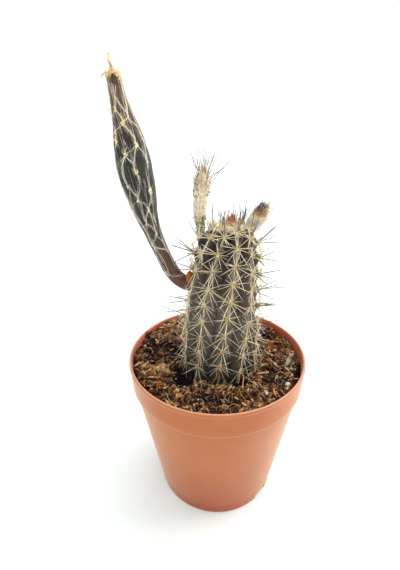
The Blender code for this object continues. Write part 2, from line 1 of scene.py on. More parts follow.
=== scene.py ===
"""The looks of a small columnar cactus in a nursery pot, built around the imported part.

Blender 4.5. Lengths are millimetres in the part's frame, with the origin at the centre of the pot's foot and
+Z up. They are scaled by MM where a mesh, a lamp or the camera is made, and in the finishes. Every shape is
worked out with numpy as whole arrays.
"""

import json
import math
import random

import bmesh
import bpy
import numpy as np
from mathutils import Matrix
from numpy.random import default_rng

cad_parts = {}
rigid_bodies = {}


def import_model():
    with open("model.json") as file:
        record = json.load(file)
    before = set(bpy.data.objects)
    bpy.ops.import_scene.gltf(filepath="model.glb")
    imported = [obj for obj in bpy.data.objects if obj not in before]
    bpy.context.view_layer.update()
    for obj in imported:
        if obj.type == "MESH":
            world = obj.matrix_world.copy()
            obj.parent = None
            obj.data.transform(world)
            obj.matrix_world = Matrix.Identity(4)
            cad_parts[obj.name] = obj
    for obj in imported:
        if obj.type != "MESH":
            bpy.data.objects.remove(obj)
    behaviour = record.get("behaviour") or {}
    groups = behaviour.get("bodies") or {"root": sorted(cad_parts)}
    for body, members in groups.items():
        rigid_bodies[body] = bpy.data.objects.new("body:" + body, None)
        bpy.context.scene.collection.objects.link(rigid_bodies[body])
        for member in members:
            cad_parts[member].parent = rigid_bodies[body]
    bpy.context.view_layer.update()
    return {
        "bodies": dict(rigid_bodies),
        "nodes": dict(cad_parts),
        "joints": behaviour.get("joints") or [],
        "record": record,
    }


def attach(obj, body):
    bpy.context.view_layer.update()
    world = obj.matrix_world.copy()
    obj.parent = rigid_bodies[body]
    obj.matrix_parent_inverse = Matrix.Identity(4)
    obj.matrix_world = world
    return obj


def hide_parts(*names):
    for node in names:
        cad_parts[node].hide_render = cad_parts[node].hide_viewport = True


MM = 0.001

POT_HEIGHT = 50.0
POT_RIM_R = 27.5
POT_FLOOR = 1.0
COLLAR_Z = 41.6
WALL_TOP_R = 26.3
POT_COLUMNS = 360
# The pot's columns and its floor's three sectors start at this angle, in degrees.
POT_START = -30.0
POT_MERGE = 0.002
SLOT_ANGLES = (-39.0, 141.0)
SLOT_HALF_ANGLE = 8.0
SLOT_TOP = 1.8
SLOT_IN_R = 16.2
# Rows of the wall's profile that a slot cuts, outside and inside.
SLOT_ROWS = 6
DRAIN_R = 2.5
DRAIN_PITCH_R = 9.0

SOIL_Z = 46.0
BANK_RISE = 2.0
BANK_FOOT_R = 12.5
BANK_TOP_R = 25.0
STEM_FOOT_X = 0.8
# The stem's hole in the peat, and how far from its axis the loose pieces start.
STEM_HOLE_R = 9.75
LOOSE_IN_R = 10.9
LOOSE_OUT_R = 25.2
INNER_RIM_R = 26.3
# How far the peat has drawn down by the wall at the right.
DRY_GAP = 1.9

RIB_COUNT = 10
RIB_DEPTH = 1.5
RIB_WIDTH = 6.6
# The front rib's direction in degrees at this height, and how far it turns for each millimetre of height.
RIB_START = -81.5
RIB_LEVEL = 70.0
RIB_LEAN = 0.46
AREOLE_PITCH = 5.12
# The row number of each rib's first areole: the ribs carry theirs in turn, not quite half a pitch apart.
AREOLE_STARTS = (0.0, 0.55, 0.1, 0.6, 0.15, 0.7, 0.0, 0.85, 0.52, 0.35)
CROWN_CROWDING = 1.55
# The flat top puts every row this much farther along the profile.
CROWN_EDGE = 0.75
FIRST_ROW = 1.4
LAST_ROW = 10.6
# The crown's tufts lie between these rows.
CROWN_ROWS = (0.3, 2.3)
# Radius and height of the rib crests, from the crown's tip down to the buried foot.
STEM_PROFILE = (
    (0.0, 90.3), (3.0, 90.1), (5.4, 89.6), (6.8, 88.7), (7.7, 87.1), (8.3, 84.5),
    (8.95, 80.2), (9.56, 73.7), (10.05, 66.6), (10.35, 59.4), (10.45, 51.3),
    (10.2, 46.0), (9.6, 42.0), (7.9, 38.6), (5.0, 37.0), (0.0, 36.6),
)
# The stem leans a little to +X: heights, and its axis's place there.
STEM_LEAN = (
    (46.0, 51.3, 59.4, 66.6, 73.7, 80.2, 85.9, 88.0, 90.3),
    (0.8, 0.94, 1.19, 1.51, 1.97, 2.37, 2.65, 3.0, 3.5),
)
# Tips of the long central spines that stand out from the stem's outline.
LONG_SPINE_TIPS = (
    (-16.4, -1.0, 66.3), (-15.6, 1.5, 63.0), (-14.8, -2.0, 70.4), (-11.5, -1.5, 87.2), (-13.0, 2.0, 84.5),
    (19.3, -1.0, 73.4), (18.5, 1.0, 66.7), (18.7, -2.0, 62.7), (15.7, 0.5, 90.1), (16.5, -1.5, 86.6),
    (17.8, 1.5, 79.8), (-12.5, -3.0, 81.0),
)
# Tips of the long young spines that stand up from the crown.
CROWN_SPINE_TIPS = (
    (-1.4, -0.8, 96.9), (0.0, 1.0, 95.2), (0.6, -1.5, 96.4), (1.7, 0.5, 95.8), (2.6, -0.5, 96.3),
    (4.0, 0.8, 96.9), (4.8, -1.0, 95.6), (5.5, 0.5, 95.0), (6.7, 1.5, 94.5), (7.8, -1.5, 94.8),
    (9.0, -0.5, 96.3), (-3.0, -1.5, 93.2), (-2.0, 1.0, 92.8),
)

POD_LENGTH = 60.0
# Places and radii along the pod's middle line, from its root on the stem to the mouth of its neck.
POD_LINE = (
    (-7.7, 2.0, 72.2, 1.9), (-9.1, 1.8, 72.8, 2.0), (-10.4, 1.7, 73.6, 2.0), (-11.8, 1.5, 74.9, 1.95),
    (-13.1, 1.3, 76.8, 1.95), (-14.3, 1.2, 79.2, 1.95), (-15.8, 0.9, 83.1, 1.95), (-17.3, 0.6, 87.1, 2.1),
    (-18.4, 0.3, 90.8, 2.4), (-19.3, 0.0, 94.5, 3.0), (-19.9, 0.0, 97.9, 3.65), (-20.5, 0.0, 101.2, 4.1),
    (-21.1, 0.0, 104.4, 4.3), (-21.5, 0.0, 107.5, 4.3), (-21.9, 0.0, 110.5, 4.0), (-22.3, 0.0, 113.5, 3.4),
    (-22.8, 0.0, 116.3, 2.75), (-23.3, 0.0, 119.1, 2.15), (-23.8, 0.0, 121.8, 1.75),
    (-24.2, 0.0, 124.5, 1.6), (-24.6, 0.0, 126.5, 1.5),
)
TALL_BUD_LINE = (
    (-4.6, 4.8, 85.6, 1.05), (-4.75, 4.9, 86.9, 1.15), (-4.9, 4.9, 88.7, 1.25), (-5.05, 4.8, 92.1, 1.65),
    (-4.8, 4.7, 96.4, 1.95), (-4.35, 4.7, 100.3, 2.15), (-4.15, 4.7, 103.0, 1.35), (-4.0, 4.7, 105.4, 0.35),
)
SHORT_BUD_LINE = (
    (8.9, 2.6, 88.65, 1.55), (9.5, 2.6, 89.8, 1.9), (10.3, 2.5, 91.3, 1.95), (11.2, 2.5, 93.0, 1.6),
    (12.0, 2.5, 94.6, 1.25), (12.6, 2.5, 96.1, 0.65),
)
APEX_BUD_LINE = (
    (3.1, 0.0, 90.75, 1.15), (3.4, 0.0, 91.6, 1.2), (3.8, 0.0, 92.9, 0.75), (4.1, 0.0, 93.9, 0.3),
)
# Tips of the tall bud's longest bristles.
BRISTLE_TIPS = (
    (-6.7, 4.2, 108.0), (-5.7, 5.0, 109.2), (-5.4, 4.4, 109.0), (-4.6, 5.4, 108.0), (-3.3, 4.0, 108.6),
    (-2.4, 5.2, 109.0), (-1.5, 4.4, 107.5), (-1.1, 5.6, 108.1), (0.0, 4.6, 108.8), (2.6, 4.2, 106.5),
    (1.7, 5.2, 105.6), (0.5, 4.0, 104.9), (-6.4, 5.2, 106.3), (-2.7, 3.6, 108.1), (-4.0, 7.4, 108.4),
    (-6.6, 7.0, 107.2), (-1.6, 7.8, 107.6),
)
# Radii of the cords of each strand of the pod's net: one thick and two thin.
NET_CORDS = (0.075, 0.04, 0.035)
# The streaks of the pod's skin are this many times as long as wide.
STREAK_STRETCH = 12.0
# The dark scar under the pod's mouth: its turn, its share of the length, and its half sizes.
SCAR_TURN = 0.7
SCAR_RUN = 0.978
SCAR_SIZE = (0.82, 1.3, 0.34)
# The rest of the style: places above the pod's mouth, and radii.
STYLE_LINE = (
    (0.0, 0.0, 0.6, 0.8), (-0.1, 0.0, 1.3, 0.45), (-0.22, 0.0, 1.9, 0.27), (-0.32, 0.0, 2.4, 0.3),
    (-0.4, 0.0, 3.0, 0.52), (-0.42, 0.0, 3.5, 0.42), (-0.4, 0.0, 3.85, 0.15),
)
# Each hair of a bud has this many rings and sides, and starts this far under the skin.
HAIR_RINGS = 6
HAIR_SIDES = 3
HAIR_SUNK = 0.25
# The share of a hair's length at each of its rings.
HAIR_SHARE = np.linspace(0.0, 1.0, HAIR_RINGS)

KNOB_PLACE = (-7.7, -2.1, 76.4)
KNOB_SIZE = (1.05, 1.2, 1.85)
# Spines keep out of two balls, one round the knob and one in front of it: places and radii.
KNOB_BEADS = ((-7.7, -2.1, 76.4, 1.9), (-8.0, -3.7, 77.2, 1.7))
SLIVER_ENDS = ((21.2, -4.9, 48.2), (24.5, 1.0, 49.1))

# Clods of the bed: x, y, radius, height and how much paler they are than the peat round them.
CLODS = (
    (-3.9, -12.6, 3.0, 1.6, 0.24), (-0.3, -14.4, 2.0, 0.8, 0.16), (3.0, -15.2, 2.2, 0.9, 0.12),
    (6.8, -16.6, 2.2, 0.7, 0.1), (-22.4, -4.8, 1.9, 0.5, 0.42), (-19.4, -8.8, 2.2, 0.6, 0.44),
    (-17.0, -5.0, 1.8, 0.7, 0.36), (-15.4, -7.4, 1.7, 0.5, 0.36), (-16.2, -13.8, 1.7, 0.6, 0.26),
    (19.4, 3.8, 2.3, 0.6, 0.2), (17.2, 6.8, 2.2, 0.7, 0.18), (14.8, 0.6, 2.0, 0.7, 0.2),
    (18.5, 16.8, 2.6, 0.6, 0.2), (-18.4, 16.6, 2.8, 0.6, 0.18), (-14.2, 14.4, 2.2, 0.5, 0.16),
    (12.6, -10.8, 2.0, 0.6, 0.1), (15.0, -16.0, 2.4, 0.3, 0.12), (-9.4, -18.6, 2.4, 0.3, 0.12),
    (2.0, 16.0, 2.6, 0.7, 0.16), (-7.0, 20.0, 2.4, 0.5, 0.14), (9.0, 20.5, 2.4, 0.4, 0.12),
)
# Hollows of the bed, darkened with painted shade: x, y, radius and depth.
HOLLOWS = (
    (-10.8, -6.0, 3.0, 1.5), (-9.2, -9.4, 3.0, 2.0), (6.8, -11.2, 2.4, 1.9), (-4.3, -19.2, 2.0, 0.6),
    (17.6, -6.6, 2.2, 0.6), (17.6, 12.4, 2.2, 0.6), (-12.0, 4.6, 2.4, 0.7), (11.8, 6.0, 1.8, 0.6),
    (-20.6, 3.4, 2.4, 0.5), (-3.0, 13.4, 2.4, 0.7), (-16.5, 6.5, 4.4, 0.4), (-15.0, 0.6, 2.8, 0.3),
    (14.6, 10.6, 3.2, 0.4), (-0.8, -18.2, 2.6, 0.6), (2.6, -19.0, 2.2, 0.5), (20.0, -8.6, 2.0, 0.3),
    (-21.6, -0.6, 2.2, 0.3),
)
# White perlite: x, y and size.
PERLITE = (
    (13.8, -16.8, 1.9), (20.3, -13.1, 1.2), (-9.3, -11.4, 1.1), (-11.1, -15.5, 1.3), (-5.6, -21.5, 1.0),
    (0.8, -23.2, 0.6), (-6.6, -22.3, 0.7), (8.9, -15.6, 0.6), (-14.8, -15.2, 0.7), (22.6, -7.9, 0.9),
    (-17.5, 17.5, 0.8), (-12.3, -7.9, 0.5), (15.0, 12.6, 1.0), (4.6, 21.0, 0.9), (-20.8, 8.4, 0.8),
)
# Old roots and a twig: both ends, in millimetres, their radius and tone.
ROOTS = (
    ((0.5, -10.9, 52.0), (-0.9, -11.6, 46.4), 0.24, 0.5),
    ((0.9, -11.0, 51.0), (0.2, -12.4, 46.2), 0.12, 0.62),
    ((7.2, -8.3, 50.4), (7.9, -12.6, 46.0), 0.16, 0.9),
    ((6.8, -8.6, 50.0), (6.4, -11.2, 46.3), 0.11, 0.8),
    ((12.3, -7.6, 47.3), (15.6, -7.2, 47.6), 0.26, 0.84),
    ((-10.4, -0.6, 49.0), (-13.6, -1.6, 46.6), 0.14, 0.8),
)

# Spines keep at least this far from the pod, the tall bud and the short one.
SPINE_GAP = 0.3

# A camera fitted to the photograph's pot rim, collar and foot.
CAMERA_PLACE = (0.0, -93.7, 116.5)
CAMERA_RIGHT = (0.99881003, 0.04711795, -0.0125865)
CAMERA_UP = (-0.00840123, 0.42044856, 0.90727748)
PHOTO_HEIGHT = 570
FOCAL_PIXELS = 354.0
SENSOR = 36.0
# Half the floor's side, and how far off the lamps stand.
FLOOR_HALF = 9000.0
LAMP_FAR = 300.0


def smooth_line(points, count):
    """A Catmull-Rom curve through the points, sampled at count places evenly spaced in length."""
    p = np.array(points, float)
    p = np.vstack([2 * p[0] - p[1], p, 2 * p[-1] - p[-2]])
    t = np.linspace(0.0, 1.0, 21)[:-1, None]
    spans = []
    for a, b, c, d in zip(p, p[1:], p[2:], p[3:]):
        bend, twist = 2 * a - 5 * b + 4 * c - d, 3 * b - a - 3 * c + d
        spans.append(b + 0.5 * ((c - a) * t + bend * t**2 + twist * t**3))
    fine = np.vstack([*spans, p[-2]])
    length = np.concatenate([[0.0], np.cumsum(np.linalg.norm(np.diff(fine, axis=0), axis=1))])
    at = np.linspace(0.0, length[-1], count)
    return np.stack([np.interp(at, length, fine[:, k]) for k in range(p.shape[1])], axis=1)


def clipped(values):
    """The values kept from 0 to 1."""
    return np.clip(values, 0.0, 1.0)


def unit(vectors):
    """The vectors divided by their lengths."""
    return vectors / np.maximum(np.linalg.norm(vectors, axis=-1, keepdims=True), 1e-9)


def waves(x, y, seed, size, count=7):
    """Smooth bumps from -1 to 1: a sum of seeded plane waves about size millimetres long."""
    draw = random.Random(seed)
    total = 0.0
    for _ in range(count):
        heading = draw.uniform(0, math.tau)
        wave = math.tau / (size * draw.uniform(0.6, 1.6))
        start = draw.uniform(0, math.tau)
        total = total + np.sin((x * math.cos(heading) + y * math.sin(heading)) * wave + start)
    return total / math.sqrt(2 * count)


def tube_frame(line, count=400):
    """Middle line, side, up and along vectors and radius of a tube from its (x, y, z, radius) points."""
    path = smooth_line(line, count)
    along = unit(np.gradient(path[:, :3], axis=0))
    side = unit(np.cross(along, (0.0, 1.0, 0.0)))
    return path[:, :3], side, np.cross(side, along), along, path[:, 3]


def along_frame(frame, run):
    """The frame's middle, side, up, along and radius at shares run of its length, an array of any shape."""
    at = clipped(run) * (len(frame[0]) - 1)
    grid = np.arange(len(frame[0]))
    vectors = [np.stack([np.interp(at, grid, part[:, k]) for k in range(3)], axis=-1) for part in frame[:4]]
    return (*vectors, np.interp(at, grid, frame[4]))


def on_tube(frame, turn, run, extra=0.0):
    """The point at angle turn (0 to 1) and share run of the tube's length, extra millimetres outside it."""
    middle, side, up, _, radius = along_frame(frame, run)
    angle = math.tau * turn
    out = side * np.cos(angle)[..., None] + up * np.sin(angle)[..., None]
    return middle + out * (radius + extra)[..., None]


def tube_grid(rows, columns):
    """Turn (0 to 1) and share of the length at each point of a grid of rows by columns on a tube."""
    turn = np.arange(columns) / columns + np.zeros((rows, 1))
    run = np.linspace(0.0, 1.0, rows)[:, None] + np.zeros((1, columns))
    return turn, run


def all_round(columns):
    """Angles evenly spaced all round."""
    return math.tau * np.arange(columns) / columns


def on_ball(latitude, angle):
    """Points of a ball of radius 1 at latitudes and angles round it."""
    level = np.cos(latitude)
    return np.stack([level * np.cos(angle), level * np.sin(angle), np.sin(latitude) + 0 * angle], axis=-1)


def grid_quads(rows, columns):
    """Corner numbers of the quads of a grid that closes on itself, with points stored row by row."""
    row, column = np.meshgrid(np.arange(rows - 1), np.arange(columns), indexing="ij")
    beside = (column + 1) % columns
    corners = (row * columns + column, row * columns + beside,
               (row + 1) * columns + beside, (row + 1) * columns + column)
    return np.stack(corners, axis=-1).reshape(-1, 4)


def closed_bodies(rings, ends):
    """Closed round bodies: rings (body, ring, column, xyz) run from ends[:, 0] to ends[:, 1], and turn
    anticlockwise seen from the second end. Quads join the rings and a fan of triangles closes each end."""
    count, rows, columns, _ = rings.shape
    points = np.concatenate([rings.reshape(count, -1, 3), ends], axis=1)
    first = np.arange(columns)
    after = (first + 1) % columns
    last = (rows - 1) * columns
    foot = np.stack([after, first, np.full(columns, rows * columns)], axis=1)
    head = np.stack([last + first, last + after, np.full(columns, rows * columns + 1)], axis=1)
    start = (np.arange(count) * (rows * columns + 2))[:, None, None]
    quads = (grid_quads(rows, columns)[None] + start).reshape(-1, 4)
    fans = (np.concatenate([foot, head])[None] + start).reshape(-1, 3)
    return points.reshape(-1, 3), [quads, fans]


def tubes(paths, radii, sides=5, flat=1.0, broad=None):
    """Rings and ends of round tubes along paths (tube, ring, xyz) with radii (tube, ring). Each ring stands
    square to its path. With flat below 1 a tube is a strip, thin along broad, a direction for each tube."""
    along = unit(np.gradient(paths, axis=1))
    if broad is None:
        whole = np.abs(paths[:, -1] - paths[:, 0])
        broad = np.eye(3)[np.argmin(whole, axis=1)]
    side = unit(np.cross(np.broadcast_to(broad[:, None], along.shape), along))
    up = np.cross(along, side)
    angle = all_round(sides)[:, None]
    circle = side[:, :, None] * np.cos(angle) + up[:, :, None] * flat * np.sin(angle)
    return paths[:, :, None] + circle * radii[:, :, None, None], paths[:, [0, -1]]


def turned_about(axis, angle):
    """Rotation matrices for arrays of unit axes and angles, by Rodrigues' formula."""
    x, y, z = axis[:, 0], axis[:, 1], axis[:, 2]
    zero = np.zeros_like(x)
    cross = np.stack([zero, -z, y, z, zero, -x, -y, x, zero], axis=1).reshape(-1, 3, 3)
    sine, cosine = np.sin(angle)[:, None, None], np.cos(angle)[:, None, None]
    return np.eye(3) + sine * cross + (1 - cosine) * (cross @ cross)


def grains(rng, places, sizes, tilt, rows=2, columns=5, dent=0.25, heading=None):
    """Rings and ends of small lumps: balls of rows by columns points, stretched by sizes (grain, xyz),
    dented by up to a share of their radius, turned about Z and tilted by up to tilt radians."""
    count = len(places)
    latitude = (np.linspace(-0.5, 0.5, rows + 2)[1:-1] * math.pi)[:, None]
    angle = math.tau * (np.arange(columns)[None] + 0.5 * (np.arange(rows)[:, None] % 2)) / columns
    dented = 1 + dent * rng.uniform(-1, 1, (count, rows, columns, 1))
    rings = on_ball(latitude, angle)[None] * dented * sizes[:, None, None]
    ends = np.stack([-sizes, sizes], axis=1) * (0.0, 0.0, 1.0)
    if heading is None:
        heading = rng.uniform(0, math.tau, count)
    lean = rng.uniform(0, math.tau, count)
    level = np.stack([np.cos(lean), np.sin(lean), np.zeros(count)], axis=1)
    upright = np.tile((0.0, 0.0, 1.0), (count, 1))
    turn = turned_about(level, rng.uniform(-tilt, tilt, count)) @ turned_about(upright, heading)
    rings = np.einsum("nij,nrcj->nrci", turn, rings) + places[:, None, None]
    return rings, np.einsum("nij,nej->nei", turn, ends) + places[:, None]


def piece(name, points, faces, coat, slot, node, smooth=True, sharp=None, **shades):
    """Points in millimetres and arrays of faces become one piece that rides on the root and stands for a
    node. Shades are values at each point that its coat reads by name."""
    mesh = bpy.data.meshes.new(name)
    mesh.vertices.add(len(points))
    mesh.vertices.foreach_set("co", (points * MM).astype(np.float32).ravel())
    sizes = np.concatenate([np.full(len(f), f.shape[1]) for f in faces])
    mesh.loops.add(int(sizes.sum()))
    mesh.loops.foreach_set("vertex_index", np.concatenate([f.ravel() for f in faces]).astype(np.int32))
    mesh.polygons.add(len(sizes))
    mesh.polygons.foreach_set("loop_start", np.concatenate([[0], np.cumsum(sizes)[:-1]]).astype(np.int32))
    mesh.update(calc_edges=True)
    for shade, values in shades.items():
        layer = mesh.attributes.new(shade, "FLOAT", "POINT")
        layer.data.foreach_set("value", np.asarray(values, np.float32))
    if smooth:
        mesh.shade_smooth()
    if sharp:
        mesh.set_sharp_from_angle(angle=math.radians(sharp))
    mesh.materials.append(coat)
    made = bpy.data.objects.new(name, mesh)
    bpy.context.scene.collection.objects.link(made)
    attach(made, "root")
    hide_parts(node)
    return made


def body_piece(name, bodies, coat, slot, node, smooth=True, **shades):
    """One piece from the rings and ends of closed bodies. A shade has a value for each body, for each ring
    (body, ring) or for each point (body, ring, column), and an end takes the value of the ring beside it."""
    rings, ends = bodies
    points, faces = closed_bodies(rings, ends)
    spread = {}
    for shade, values in shades.items():
        values = np.broadcast_to(values.reshape(values.shape + (1,) * (3 - values.ndim)), rings.shape[:3])
        whole = [values.reshape(len(values), -1), values[:, :1, 0], values[:, -1:, 0]]
        spread[shade] = np.concatenate(whole, axis=1).ravel()
    piece(name, points, faces, coat, slot, node, smooth, **spread)


def linear(code):
    """A colour such as #C27A54 from sRGB to linear light."""
    srgb = np.array([int(code[i : i + 2], 16) for i in (1, 3, 5)]) / 255.0
    rgb = np.where(srgb <= 0.04045, srgb / 12.92, ((srgb + 0.055) / 1.055) ** 2.4)
    return (*(float(c) for c in rgb), 1.0)


def plug(tree, socket, value):
    """Gives a node's socket a number, a colour such as #C27A54, an output, or another node's first output."""
    if isinstance(value, bpy.types.Node):
        value = next(out for out in value.outputs if out.enabled)
    if isinstance(value, bpy.types.NodeSocket):
        tree.links.new(value, socket)
    else:
        socket.default_value = linear(value) if isinstance(value, str) else value


def add(tree, kind, *values, stops=(), **named):
    """Adds a node. Plain values go to its sockets in order. A name with a small first letter is one of the
    node's own settings, and with a capital one a socket, with _ for a space. Stops are a ramp's places and
    colours."""
    node = tree.nodes.new("ShaderNode" + kind)
    for name, value in named.items():
        if name[0].islower():
            setattr(node, name, value)
    sockets = [s for s in node.inputs if s.enabled]
    for socket, value in zip(sockets, values):
        plug(tree, socket, value)
    for name, value in named.items():
        if not name[0].islower():
            plug(tree, next(s for s in sockets if s.name == name.replace("_", " ")), value)
    for n, (place, colour) in enumerate(stops):
        stop = node.color_ramp.elements[n] if n < 2 else node.color_ramp.elements.new(place)
        stop.position = place
        stop.color = linear(colour)
    return node


def finish(name, **sockets):
    """A material with the shader's values that are the same all over, its nodes, its shader, and the place
    of each point on the object."""
    made = bpy.data.materials.new(name)
    made.use_nodes = True
    tree = made.node_tree
    shader = tree.nodes["Principled BSDF"]
    for socket, value in sockets.items():
        plug(tree, shader.inputs[socket.replace("_", " ")], value)
    return made, tree, shader, add(tree, "TexCoord").outputs["Object"]


def varied(tree, shade, noise, amount):
    """A shade that noise moves up or down, by half of amount at the most, kept from 0 to 1."""
    moved = add(tree, "Math", noise, amount, shade.outputs["Fac"], operation="MULTIPLY_ADD")
    return add(tree, "Math", moved, amount / 2, operation="SUBTRACT", use_clamp=True)


def polypropylene():
    """Injection-moulded polypropylene with terracotta pigment: a soft warm sheen that pales towards the
    edges, faint flow marks, a little peat dust, and light that sinks in slightly. Painted shade darkens the
    lowest 30 mm of the wall, a painted glow makes the inside redder and a painted highlight makes the lip
    paler."""
    made, tree, shader, place = finish("injection_moulded_polypropylene", IOR=1.49, Specular_IOR_Level=0.28,
                                       Sheen_Weight=0.5, Sheen_Roughness=0.35, Sheen_Tint="#FFE2BC",
                                       Subsurface_Weight=0.05, Subsurface_Scale=1.0 * MM,
                                       Subsurface_Radius=(1.0, 0.35, 0.15))
    # Flow marks about 14 mm long, and scuffs and dust about 1 mm across.
    flow = add(tree, "TexNoise", place, Scale=1 / (14 * MM), Detail=3.0)
    body = add(tree, "ValToRGB", flow, stops=((0.3, "#AC5C2D"), (0.7, "#B76736")))
    # Painted shade: over the lowest 30 mm of the wall its colour is multiplied darker and more orange.
    height = add(tree, "SeparateXYZ", place)
    rise = add(tree, "MapRange", height.outputs["Z"], From_Min=0.0, From_Max=30 * MM)
    depth = add(tree, "ValToRGB", rise, stops=((0.0, "#E0A862"), (1.0, "#FFFFFF")))
    low_shaded = add(tree, "Mix", data_type="RGBA", blend_type="MULTIPLY", Factor=1.0, A=body, B=depth)
    # Painted light: a redder painted glow on the inside wall, and a paler painted highlight along the lip's
    # edge.
    inside, lip = (add(tree, "Attribute", attribute_name=name).outputs["Fac"] for name in ("inside", "lip"))
    warm = add(tree, "Mix", data_type="RGBA", Factor=inside, A=low_shaded, B="#D0664C")
    glow_and_lip_highlight = add(tree, "Mix", data_type="RGBA", Factor=lip, A=warm, B="#E0A988")
    dust = add(tree, "TexNoise", place, Scale=1 / (1.1 * MM), Detail=4.0, Roughness=0.65)
    dusty = add(tree, "ValToRGB", dust, stops=((0.68, "#000000"), (0.76, "#5A5A5A")))
    colour = add(tree, "Mix", data_type="RGBA", Factor=dusty, A=glow_and_lip_highlight, B="#84502F")
    plug(tree, shader.inputs["Base Color"], colour)
    sheen = add(tree, "MapRange", flow, To_Min=0.32, To_Max=0.42)
    plug(tree, shader.inputs["Roughness"], sheen)
    # The mould's texture is about 0.25 mm across.
    grain = add(tree, "TexNoise", place, Scale=1 / (0.25 * MM), Detail=2.0)
    bump = add(tree, "Bump", Strength=0.08, Distance=0.05 * MM, Height=grain)
    plug(tree, shader.inputs["Normal"], bump)
    return made


def soil_finish(name, stops, bump_size, roughness=0.95):
    """Peat, bark, coir or grit: matt and dry. The tone at each point picks the colour, broken up by noise,
    and patches 3 mm across turn rusty."""
    made, tree, shader, place = finish(name, Roughness=roughness, Specular_IOR_Level=0.2)
    tone = add(tree, "Attribute", attribute_name="tone")
    # Fibres and crumbs within a piece are about half a millimetre across.
    grain = add(tree, "TexNoise", place, Scale=1 / (0.5 * MM), Detail=5.0, Roughness=0.7)
    colour = add(tree, "ValToRGB", varied(tree, tone, grain, 0.7), stops=stops)
    patch = add(tree, "TexNoise", place, Scale=1 / (3 * MM), Detail=2.0)
    rusty = add(tree, "ValToRGB", patch, stops=((0.42, "#FFFFFF"), (0.62, "#F6D4B2")))
    tinted = add(tree, "Mix", data_type="RGBA", blend_type="MULTIPLY", Factor=1.0, A=colour, B=rusty)
    plug(tree, shader.inputs["Base Color"], tinted)
    bump = add(tree, "Bump", Strength=0.7, Distance=bump_size * MM, Height=grain)
    plug(tree, shader.inputs["Normal"], bump)
    return made


def epidermis():
    """Cactus skin: a dull waxy cuticle over fine papillae, slate green low down, grey brown in the middle,
    purple brown towards the crown, with rusty patches, painted shade in the grooves, and ribs that are dry
    and grey along their crests."""
    made, tree, shader, place = finish("waxy_cactus_epidermis", Roughness=0.62, Specular_IOR_Level=0.3,
                                       IOR=1.42)
    high = add(tree, "Attribute", attribute_name="high")
    groove = add(tree, "Attribute", attribute_name="groove")
    crest = add(tree, "Attribute", attribute_name="crest")
    # Blotches 6 mm across shift the tint between green and brown.
    blotch = add(tree, "TexNoise", place, Scale=1 / (6 * MM), Detail=3.0)
    tint = add(tree, "ValToRGB", varied(tree, high, blotch, 0.8), stops=(
        (0.0, "#333932"), (0.25, "#514C41"), (0.5, "#5A4E42"), (0.75, "#483A32"), (1.0, "#2C221E")))
    rust_spots = add(tree, "TexNoise", place, Scale=1 / (2.6 * MM), Detail=2.0)
    rusty = add(tree, "ValToRGB", rust_spots, stops=((0.58, "#000000"), (0.72, "#9A9A9A")))
    rusted = add(tree, "Mix", data_type="RGBA", Factor=rusty, A=tint, B="#70503F")
    # Dry corky skin along the crests, broken up 1.2 mm across.
    cracks = add(tree, "TexNoise", place, Scale=1 / (1.2 * MM), Detail=4.0, Roughness=0.65)
    worn = add(tree, "Math", cracks, crest.outputs["Fac"], operation="MULTIPLY")
    wear = add(tree, "ValToRGB", worn, stops=((0.14, "#000000"), (0.5, "#C8C8C8")))
    crested = add(tree, "Mix", data_type="RGBA", Factor=wear, A=rusted, B="#A8997F")
    # Papillae stand 0.45 mm apart and catch the light as pale dots.
    papillae = add(tree, "TexVoronoi", place, Scale=1 / (0.45 * MM))
    dots = add(tree, "ValToRGB", papillae, stops=((0.05, "#7A7A7A"), (0.45, "#000000")))
    dotted = add(tree, "Mix", data_type="RGBA", Factor=dots, A=crested, B="#8B8477")
    # Painted shade darkens the grooves between the ribs.
    dark = add(tree, "Math", groove.outputs["Fac"], 0.4, operation="MULTIPLY")
    groove_shaded = add(tree, "Mix", data_type="RGBA", Factor=dark, A=dotted, B="#20201B")
    plug(tree, shader.inputs["Base Color"], groove_shaded)
    bump = add(tree, "Bump", Strength=0.6, Distance=0.12 * MM, Height=papillae, invert=True)
    plug(tree, shader.inputs["Normal"], bump)
    return made


def pod_finish():
    """Dry seed pod: a thin papery skin, slate to black brown in its middle, red brown on the stalk and the
    neck, streaked along its length, with a down too fine to model that pales it towards its edges."""
    made, tree, shader, place = finish("dry_pod_skin", Roughness=0.55, Specular_IOR_Level=0.3,
                                       Sheen_Weight=0.3, Sheen_Roughness=0.4, Sheen_Tint="#CDD0BC")
    along = add(tree, "Attribute", attribute_name="along")
    # The streaks are 0.35 mm wide and STREAK_STRETCH times as long, as reach shrinks the length so much.
    names = ("east", "north", "reach")
    round_x, round_y, length = (add(tree, "Attribute", attribute_name=name) for name in names)
    own = add(tree, "CombineXYZ", round_x.outputs["Fac"], round_y.outputs["Fac"], length.outputs["Fac"])
    streaks = add(tree, "TexNoise", own, Scale=1 / 0.35, Detail=3.0, Roughness=0.6)
    # Blotches 3 mm across.
    blotch = add(tree, "TexNoise", place, Scale=1 / (3 * MM), Detail=3.0)
    skin = add(tree, "ValToRGB", varied(tree, along, blotch, 0.14), stops=(
        (0.0, "#66402F"), (0.22, "#5C4034"), (0.36, "#33261F"), (0.6, "#1F1F1F"), (0.76, "#261D1A"),
        (0.85, "#4E2C1E"), (1.0, "#5E341E")))
    patch = add(tree, "TexNoise", place, Scale=1 / (5 * MM), Detail=2.0)
    grey = add(tree, "ValToRGB", patch, stops=((0.44, "#000000"), (0.66, "#767676")))
    greyed = add(tree, "Mix", data_type="RGBA", Factor=grey, A=skin, B="#5C5A4A")
    fine = add(tree, "ValToRGB", streaks, stops=((0.5, "#000000"), (0.8, "#4C4C4C")))
    streaked = add(tree, "Mix", data_type="RGBA", Factor=fine, A=greyed, B="#847A68")
    plug(tree, shader.inputs["Base Color"], streaked)
    bump = add(tree, "Bump", Strength=0.5, Distance=0.08 * MM, Height=streaks)
    plug(tree, shader.inputs["Normal"], bump)
    return made


